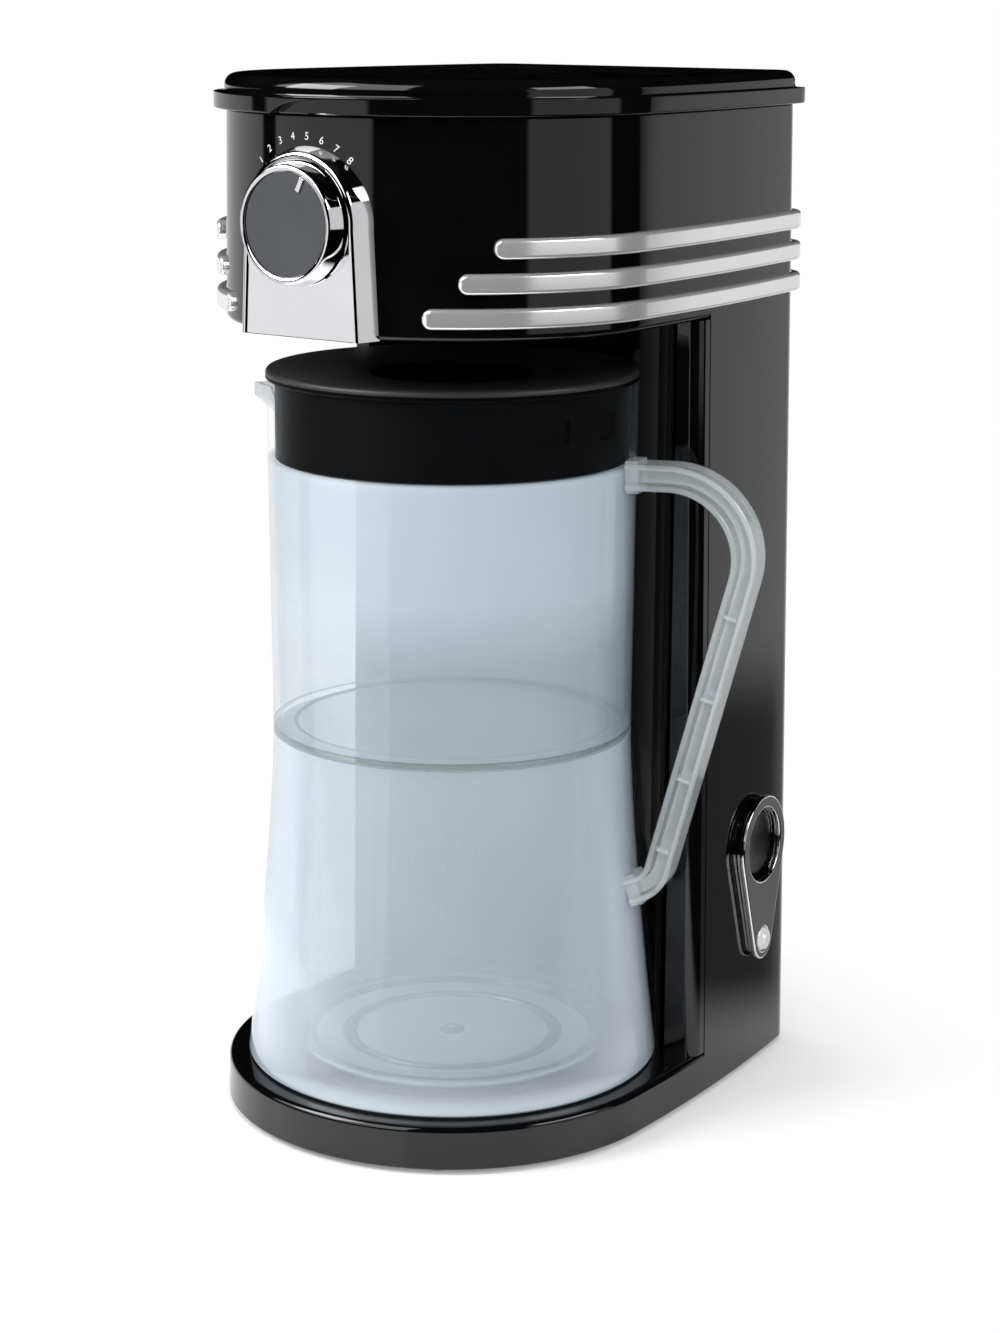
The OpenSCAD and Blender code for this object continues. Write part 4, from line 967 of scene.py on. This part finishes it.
def lamp_jewel():
    """Clear faceted jewel over the lamp."""
    facets = [(LENS_R - 0.3, BEZEL_T), (LENS_R - 0.9, BEZEL_T + 1.2), (LENS_R - 1.9, BEZEL_T + 0.7),
              (LENS_R * 0.4, BEZEL_T + 1.7), (0, BEZEL_T + 1.95)]
    profile = [(0, -LENS_DEEP), (LENS_R, -LENS_DEEP), (LENS_R, BEZEL_T - 0.3), *facets]
    spun(profile, "lamp_jewel", "machine", "clear_lens", ("indicator_lens",), LENS_SIDES, sharp=5,
         at=AT_LAMP)


# Pieces of the pitcher
def skirt_r(z):
    """Radius of the flared skirt's outside at height z."""
    return WAIST_R + (FOOT_R - WAIST_R) * ((SKIRT_TOP - z) / (SKIRT_TOP - PITCHER_Z)) ** FLARE


def wall_r(z):
    """Radius of the upper wall's outside at height z."""
    return WAIST_R + (RIM_R - WAIST_R) * (z - RING_Z) / (RIM_Z - RING_Z)


def pitcher_wall():
    """Clear upper wall with a beaded rim."""
    bead = PITCHER_T / 2
    low = RING_Z + HAIR
    profile = [(WAIST_R, low), (WAIST_R + 0.02, RING_Z + 2), (RIM_R - HAIR, RIM_Z - 1.2),
               *arc(RIM_R - bead, RIM_Z - bead, bead, 0, 180, 8), (RIM_R - PITCHER_T + HAIR, RIM_Z - 2),
               (WAIST_R - PITCHER_T, RING_Z + 2), (WAIST_R - PITCHER_T, low)]
    spun(profile, "pitcher_wall_clear", "pitcher", "clear_plastic", ("pitcher_body",), sharp=40)


def pitcher_beak():
    """V-shaped pouring beak on the rim's left."""
    root = RIM_R - 0.4
    low = SPOUT_TOP - SPOUT_H
    tip_out = SPOUT_REACH - 0.3
    tip_in = SPOUT_REACH - 3.2
    spin = Matrix.Rotation(HANDLE_A + pi, 4, "Z")
    bm = bmesh.new()
    for sign in (1, -1):
        seam = sign * 0.02
        places = (
            (root, sign * SPOUT_W, SPOUT_TOP),
            (tip_out, seam, SPOUT_TOP),
            (tip_in, seam, SPOUT_TOP),
            (root, sign * (SPOUT_W - 2.2), SPOUT_TOP),
            (root, sign * 2.4, low),
            (tip_out, seam, SPOUT_TOP - 5),
            (tip_in, seam, SPOUT_TOP - 4),
            (root, sign * 1.0, low + SPOUT_T),
        )
        corners = [bm.verts.new((spin @ Vector(corner)) * MM) for corner in places]
        for quad in ((0, 1, 2, 3), (0, 1, 5, 4), (3, 2, 6, 7), (4, 5, 6, 7), (0, 3, 7, 4), (1, 2, 6, 5)):
            bm.faces.new([corners[i] for i in quad])
    piece(bm, "pitcher_beak_clear", "pitcher", "clear_plastic", material=HANDLE_CLEAR, sharp=40)


def pitcher_vessel():
    """Clear inner vessel: shoulder ring, tapered wall, floor with a raised ring and a centre nub."""
    floor = PITCHER_Z + 2
    top = floor + VESSEL_FLOOR
    in_top = VESSEL_R - PITCHER_T
    in_low = VESSEL_FOOT_R - PITCHER_T
    ring_in = FLOOR_RING_R - FLOOR_RING_W
    foot = [(0, floor + 1.2), (VESSEL_FOOT_R - 8, floor + 1.2), (VESSEL_FOOT_R - 6.5, floor),
            (VESSEL_FOOT_R - 2, floor), (VESSEL_FOOT_R, floor + 2)]
    shoulder = [(VESSEL_R - 0.4, SKIRT_TOP - 2.2), (VESSEL_R + 1.2, SKIRT_TOP - 0.2),
                (WAIST_R - 0.4, SKIRT_TOP + 0.1), (WAIST_R, SKIRT_TOP + 0.6)]
    ring = [(WAIST_R, RING_Z - HAIR), (WAIST_R - PITCHER_T, RING_Z - HAIR), (RING_R + 0.3, RING_Z - 0.1),
            (RING_R, RING_Z - 0.4), (RING_R, RING_Z - 0.9)]
    inside = [(in_top, RING_Z - 1.6), (in_top, SKIRT_TOP - 1.6), (in_low, top + 3), (in_low - 3, top)]
    raised = [(FLOOR_RING_R, top), (FLOOR_RING_R - 0.8, top + 0.9), (ring_in + 0.8, top + 0.9),
              (ring_in, top)]
    nub = [(NUB_R, top), (NUB_R - 0.8, top + 1.2), (NUB_R - 2.6, top + 1.8), (0, top + 1.8)]
    spun(foot + shoulder + ring + inside + raised + nub, "pitcher_vessel_clear", "pitcher", "clear_plastic",
         ("pitcher_vessel",), material=VESSEL_CLEAR, sharp=40)


def pitcher_skirt():
    """Clear flared skirt round the inner vessel, with a rounded foot."""
    steps = 24
    low = PITCHER_Z + 1.2
    high = SKIRT_TOP - 2 * HAIR
    heights = [low + (high - low) * i / steps for i in range(steps + 1)]
    outside = [(skirt_r(z), z) for z in heights]
    inside = [(r - PITCHER_T, z) for r, z in reversed(outside)]
    bead = PITCHER_T / 2
    foot = arc(outside[0][0] - bead, PITCHER_Z + bead, bead, 180, 360, 8)
    spun(foot + outside[1:] + inside[:-1], "pitcher_skirt_clear", "pitcher", "clear_plastic",
         ("pitcher_skirt",), material=SKIRT_CLEAR, sharp=40)


# Handle: a bar of two rails and a web, bent in its own plane, x out from the axis and y up
HANDLE_D = 10
HANDLE_W = 14
HANDLE_T = 2.2
TOP_ROOT_Z = RIM_Z - 33.8
LOW_ROOT_Z = DECK_Z + 73.5
TOP_ROOT = Vector((wall_r(TOP_ROOT_Z) + 0.3, TOP_ROOT_Z))
LOW_ROOT = Vector((skirt_r(LOW_ROOT_Z) + 0.3, LOW_ROOT_Z))
TOP_CORNER = Vector((RIM_R + 56.1, TOP_ROOT_Z + 1.2))
LOW_CORNER = Vector((85, LOW_ROOT_Z + 4))
TOP_BEND_R = 30
TOP_BEND_STEPS = 20
LOW_BEND_R = 13
LOW_BEND_STEPS = 10
RIB_SHARES = (0.12, 0.4, 0.68, 0.93)
RIB_T = 1.4
ROOT_L = 5
ROOT_GROW = 1.2


def bend(before, corner, after, r, steps):
    """Points and directions of a rounded corner."""
    u = (before - corner).normalized()
    v = (after - corner).normalized()
    half = u.angle(v) / 2
    middle = corner + (u + v).normalized() * r / sin(half)
    first = corner + u * r / tan(half) - middle
    a0 = atan2(first.y, first.x)
    side = 1 if u.x * v.y - u.y * v.x > 0 else -1
    sweep = (pi - 2 * half) * side
    made = []
    for i in range(steps + 1):
        a = a0 - sweep * i / steps
        point = middle + r * Vector((cos(a), sin(a)))
        made.append((point, -side * Vector((-sin(a), cos(a)))))
    return made


def handle_path():
    """Points and directions of the bar's middle line from its upper to its lower root."""
    path = [(TOP_ROOT, (TOP_CORNER - TOP_ROOT).normalized())]
    path += bend(TOP_ROOT, TOP_CORNER, LOW_CORNER, TOP_BEND_R, TOP_BEND_STEPS)
    path += bend(TOP_CORNER, LOW_CORNER, LOW_ROOT, LOW_BEND_R, LOW_BEND_STEPS)
    path.append((LOW_ROOT, (LOW_ROOT - LOW_CORNER).normalized()))
    return path


def handle_bar(bm, path, low, high, width):
    """A strip of the bar between two offsets from its middle line, with eased edges."""
    ease = 0.5
    w = width / 2
    section = [(low + ease, -w), (high - ease, -w), (high, ease - w), (high, w - ease), (high - ease, w),
               (low + ease, w), (low, w - ease), (low, ease - w)]
    spin = Matrix.Rotation(HANDLE_A, 4, "Z")
    rows = []
    for point, direction in path:
        normal = Vector((-direction.y, direction.x))
        row = []
        for off, across in section:
            p = point + normal * off
            row.append(bm.verts.new((spin @ Vector((p.x, across, p.y))) * MM))
        rows.append(row)
    skins(bm, rows)


def pitcher_handle():
    """Clear handle with two rails, a web, cross ribs and a block at each root."""
    bm = bmesh.new()
    path = handle_path()
    half = HANDLE_D / 2
    web = half - HANDLE_T
    handle_bar(bm, path, web, half, HANDLE_W)
    handle_bar(bm, path, -half, -web, HANDLE_W)
    handle_bar(bm, path, 0.02 - web, web - 0.02, HANDLE_T)
    start = path[TOP_BEND_STEPS + 1][0]
    run = path[TOP_BEND_STEPS + 2][0] - start
    down = run.normalized()
    for share in RIB_SHARES:
        middle = start + run * share
        ends = [(middle - down * RIB_T / 2, down), (middle + down * RIB_T / 2, down)]
        handle_bar(bm, ends, 0.03 - web, web - 0.03, HANDLE_W - 1)
    for (root, direction), onward in ((path[0], 1), (path[-1], -1)):
        block = [(root, direction), (root + direction * onward * ROOT_L, direction)]
        handle_bar(bm, block, -half - ROOT_GROW, half + ROOT_GROW, HANDLE_W - 2)
    piece(bm, "pitcher_handle_clear", "pitcher", "clear_plastic", ("pitcher_handle",), material=HANDLE_CLEAR,
          sharp=40)


# Lid of the pitcher
PLUG_T = 2
PLUG_H = 30.6
PLUG_GAP = 0.4
DISH_R = 31
DISH_DEEP = 9
DRIP_R = 6
SLOTS = (-20, 7)
SLOT_W = 15
SLOT_TOP = RIM_Z - 9
SLOT_LOW = RIM_Z - 18
SLOT_DEEP = 1.7


def cap_profile(plug):
    """Closed section of the pitcher's lid, and the place in it of the slots' lower edge."""
    flange = RIM_Z + 0.2
    dish = CAP_Z - DISH_DEEP
    inner = plug - PLUG_T
    low = RIM_Z - PLUG_H
    disc = [(RIM_R + 0.2, flange + 0.4), *arc(RIM_R - 1.6, CAP_Z - 1.8, 1.8, 0, 90, 8),
            (RIM_R - 5, CAP_Z - 0.1), (DISH_R + 8, CAP_Z - 1.6), (DISH_R + 1, CAP_Z - 2.2)]
    bowl = [(DISH_R - 0.4, CAP_Z - 3), (DISH_R - 4.4, dish + 0.6), (DISH_R - 5.4, dish),
            (DRIP_R + 1, dish), (DRIP_R, dish - 0.6)]
    under = [(DRIP_R, dish - 2.2), (DISH_R - 3.5, dish - 2.2), (DISH_R + 1, CAP_Z - 4.6),
             (inner, flange - 1)]
    inside = [(inner, SLOT_TOP), (inner, SLOT_LOW), (inner, low + 0.5), (inner + 0.5, low)]
    outside = [(plug - 0.5, low), (plug, low + 0.5), (plug, SLOT_LOW), (plug, SLOT_TOP), (plug, flange),
               (RIM_R - 0.2, flange)]
    profile = disc + bowl + under + inside + outside
    return profile, profile.index((plug, SLOT_LOW))


def pitcher_cap():
    """Black pitcher lid: rounded disc, dished centre with a drip hole, plug skirt with two slots."""
    plug = min(RIM_R, wall_r(RIM_Z - PLUG_H)) - PITCHER_T - PLUG_GAP
    profile, window = cap_profile(plug)
    half = degrees(SLOT_W / 2 / plug)
    plain = {round(i * 360 / SPIN, 4) for i in range(SPIN)}
    ends = {(middle + sign * half) % 360 for middle in SLOTS for sign in (1, -1)}
    turns = sorted(plain | ends)
    in_slot = [any(abs((a + b) / 2 - 360 * (a > 180) - s) < half for s in SLOTS)
               for a, b in zip(turns, turns[1:] + [360])]
    deep = plug - SLOT_DEEP
    bm = bmesh.new()
    rows = []
    floors = []
    for a in turns:
        c, s = cos(radians(a)), sin(radians(a))
        rows.append([vertex(bm, r * c, r * s, z) for r, z in profile])
        floors.append([vertex(bm, deep * c, deep * s, z) for z in (SLOT_LOW, SLOT_TOP)])
    count = len(profile)
    for i, row in enumerate(rows):
        after = rows[(i + 1) % len(rows)]
        here, there = floors[i], floors[(i + 1) % len(rows)]
        for j in range(count):
            k = (j + 1) % count
            if in_slot[i] and j == window:
                bm.faces.new((row[j], after[j], there[0], here[0]))
                bm.faces.new((here[0], there[0], there[1], here[1]))
                bm.faces.new((here[1], there[1], after[k], row[k]))
            else:
                bm.faces.new((row[j], after[j], after[k], row[k]))
        if in_slot[i] != in_slot[i - 1]:
            bm.faces.new((row[window], here[0], here[1], row[window + 1]))
    loose = [v for v in bm.verts if not v.link_faces]
    bmesh.ops.delete(bm, geom=loose, context="VERTS")
    piece(bm, "pitcher_cap_disc", "pitcher_cap", "satin_black", ("pitcher_lid",), material=CAP_PAINTED_LIGHT,
          sharp=35)


# Solids that show as they are
EASED = ("feet", "cord_gland", "bottom_screws", "terminal_block")
EASE = 0.4


def dress_nodes():
    """Materials for the solids that show as they are, and eased edges on the small ones."""
    slots = {part["node"]: part["material_slot"] for part in frame["record"]["subparts"]}
    for name, obj in frame["nodes"].items():
        mat = MATERIALS[slots[name]]
        if not obj.material_slots:
            obj.data.materials.append(mat)
        for holder in obj.material_slots:
            holder.material = mat
        if name in EASED:
            edge = obj.modifiers.new("edge", "BEVEL")
            edge.width = EASE * MM
            edge.segments = 2
            edge.limit_method = "ANGLE"
            edge.angle_limit = radians(50)


# Studio
FLOOR_R = 330
FLOOR_AT = (-40, -80)
FLOOR_FADE = 0.72
FLOOR_GLOW = 0.2
# Cards seen in gloss: from and to in degrees from the front, lower and upper end, brightness
CARDS = (
    (-190, -73, -90, 0, 0.8),
    (-62, -3, -90, 0, 0.88),
    (75, 123.4, -7, 24, 0.65),
    (147, 190, -13, 12, 0.57),
    (147, 190, -90, 0, 0.12),
    (166, 190, -90, -13, 0.35),
    (-66, 14, 18, 62, 3),
    (82, 118, 24, 40, 5),
)
CARD_EDGE = 1.5
CARD_END = 1
ROOM_LEVEL = 0.62
# Lamps: place, aim, size, watts and whether gloss shows them
LAMPS = {
    "key": ((-700, -900, 1000), (0, 0, 200), (700, 700), 14, True),
    "fill": ((900, -700, 700), (0, 0, 200), (600, 900), 7, False),
    "top": ((-100, 100, 1400), (0, 0, 300), (900, 900), 9, False),
}
CAMERA_AZ = radians(36.35)
CAMERA_PITCH = radians(13.53)
CAMERA_ROLL = radians(0.26)
CAMERA_DISTANCE = 1106.7
CAMERA_TARGET = Vector((15.04, 11.07, 175.53))
FOCAL_PX = 2814.6
IMAGE_W = 1000
SENSOR = 36


def camera():
    """The place and lens from which the object was photographed."""
    level = Vector((cos(CAMERA_AZ), sin(CAMERA_AZ), 0))
    ahead = Vector((sin(CAMERA_AZ), -cos(CAMERA_AZ), 0))
    back = ahead * cos(CAMERA_PITCH) + Vector((0, 0, sin(CAMERA_PITCH)))
    upright = back.cross(level)
    right = level * cos(CAMERA_ROLL) + upright * sin(CAMERA_ROLL)
    up = back.cross(right)
    data = bpy.data.cameras.new("camera")
    data.sensor_fit = "HORIZONTAL"
    data.sensor_width = SENSOR
    data.lens = FOCAL_PX * SENSOR / IMAGE_W
    data.clip_start = 0.01
    obj = link_object("camera", data)
    obj.matrix_world = Matrix((right, up, back)).transposed().to_4x4()
    obj.matrix_world.translation = (CAMERA_TARGET + back * CAMERA_DISTANCE) * MM
    scene.camera = obj


def softbox(name, place_mm, aim_mm, size_mm, watts, in_gloss):
    """A rectangular lamp that points at its aim."""
    data = bpy.data.lights.new(name, "AREA")
    data.shape = "RECTANGLE"
    data.size, data.size_y = (side * MM for side in size_mm)
    data.energy = watts
    obj = link_object(name, data)
    obj.location = Vector(place_mm) * MM
    obj.rotation_euler = (Vector(aim_mm) - Vector(place_mm)).to_track_quat("-Z", "Y").to_euler()
    obj.visible_glossy = in_gloss


def card_light(kit, bearing, height):
    """Brightness of the cards in a direction, given in degrees."""

    def between(value, start, end, soft):
        entered = kit.remap(value, start - soft, start + soft, kind="SMOOTHSTEP")
        left = kit.remap(value, end - soft, end + soft, kind="SMOOTHSTEP")
        return kit.calc("MULTIPLY", entered, kit.calc("SUBTRACT", 1, left))

    cards = 0
    for start, end, bottom, top, level in CARDS:
        across = between(bearing, start, end, CARD_EDGE)
        inside = kit.calc("MULTIPLY", across, between(height, bottom, top, CARD_END))
        cards = kit.calc("MULTIPLY_ADD", inside, level, cards)
    return cards


def room():
    """White to the eye and through clear pieces, cards in a dark room to gloss, even light to the rest."""
    world = bpy.data.worlds.new("room")
    scene.world = world
    kit = NodeKit(world, "Background", "Generated")
    kit.put("Color", (1, 1, 1, 1))
    calc = kit.calc
    x, y, z = kit.split()
    bearing = calc("MULTIPLY", calc("ARCTAN2", x, calc("MULTIPLY", y, -1)), degrees(1))
    height = calc("MULTIPLY", calc("ARCSINE", z), degrees(1))
    seen, gloss = kit.seen()
    plain = calc("MULTIPLY", calc("SUBTRACT", 1, gloss), ROOM_LEVEL)
    other = calc("MULTIPLY_ADD", gloss, card_light(kit, bearing, height), plain)
    rest = calc("MULTIPLY", calc("SUBTRACT", 1, seen), other)
    kit.put("Strength", calc("ADD", rest, seen))


def floor():
    """Round white table top that glows a little for the eye and in gloss, and keeps the shadow."""
    bm = bmesh.new()
    bmesh.ops.create_circle(bm, cap_ends=True, segments=128, radius=FLOOR_R * MM)
    obj = link_object("floor", to_mesh(bm, "floor"))
    obj.location = Vector((*FLOOR_AT, 0)) * MM
    mat, kit = new_material("table_white")
    reach = kit.add("VectorMath", {0: kit.coords}, operation="LENGTH").outputs["Value"]
    kit.put("Alpha", kit.remap(reach, FLOOR_R * FLOOR_FADE * MM, FLOOR_R * MM, 1, 0, "SMOOTHSTEP"))
    kit.put("Base Color", kit.tint(kit.vary(8, 0, 1), (0.80, 0.80, 0.805), (0.815, 0.815, 0.82)))
    kit.put("Roughness", kit.vary(30, 0.12, 0.2))
    kit.put("Specular IOR Level", 0.12)
    kit.put("Emission Color", (1, 1, 1, 1))
    glows = kit.calc("MAXIMUM", *kit.seen())
    kit.put("Emission Strength", kit.calc("MULTIPLY", glows, FLOOR_GLOW))
    obj.data.materials.append(mat)


scene.view_settings.view_transform = "Standard"
camera()
room()
floor()
for lamp_name, lamp in LAMPS.items():
    softbox(lamp_name, *lamp)

dress_nodes()
housing_shell()
bay_wall()
lid_shell()
trim_bands()
dial_plate()
knob_ring()
knob_face()
numerals()
switch_bezel()
push_button()
lamp_jewel()
pitcher_wall()
pitcher_beak()
pitcher_vessel()
pitcher_skirt()
pitcher_handle()
pitcher_cap()
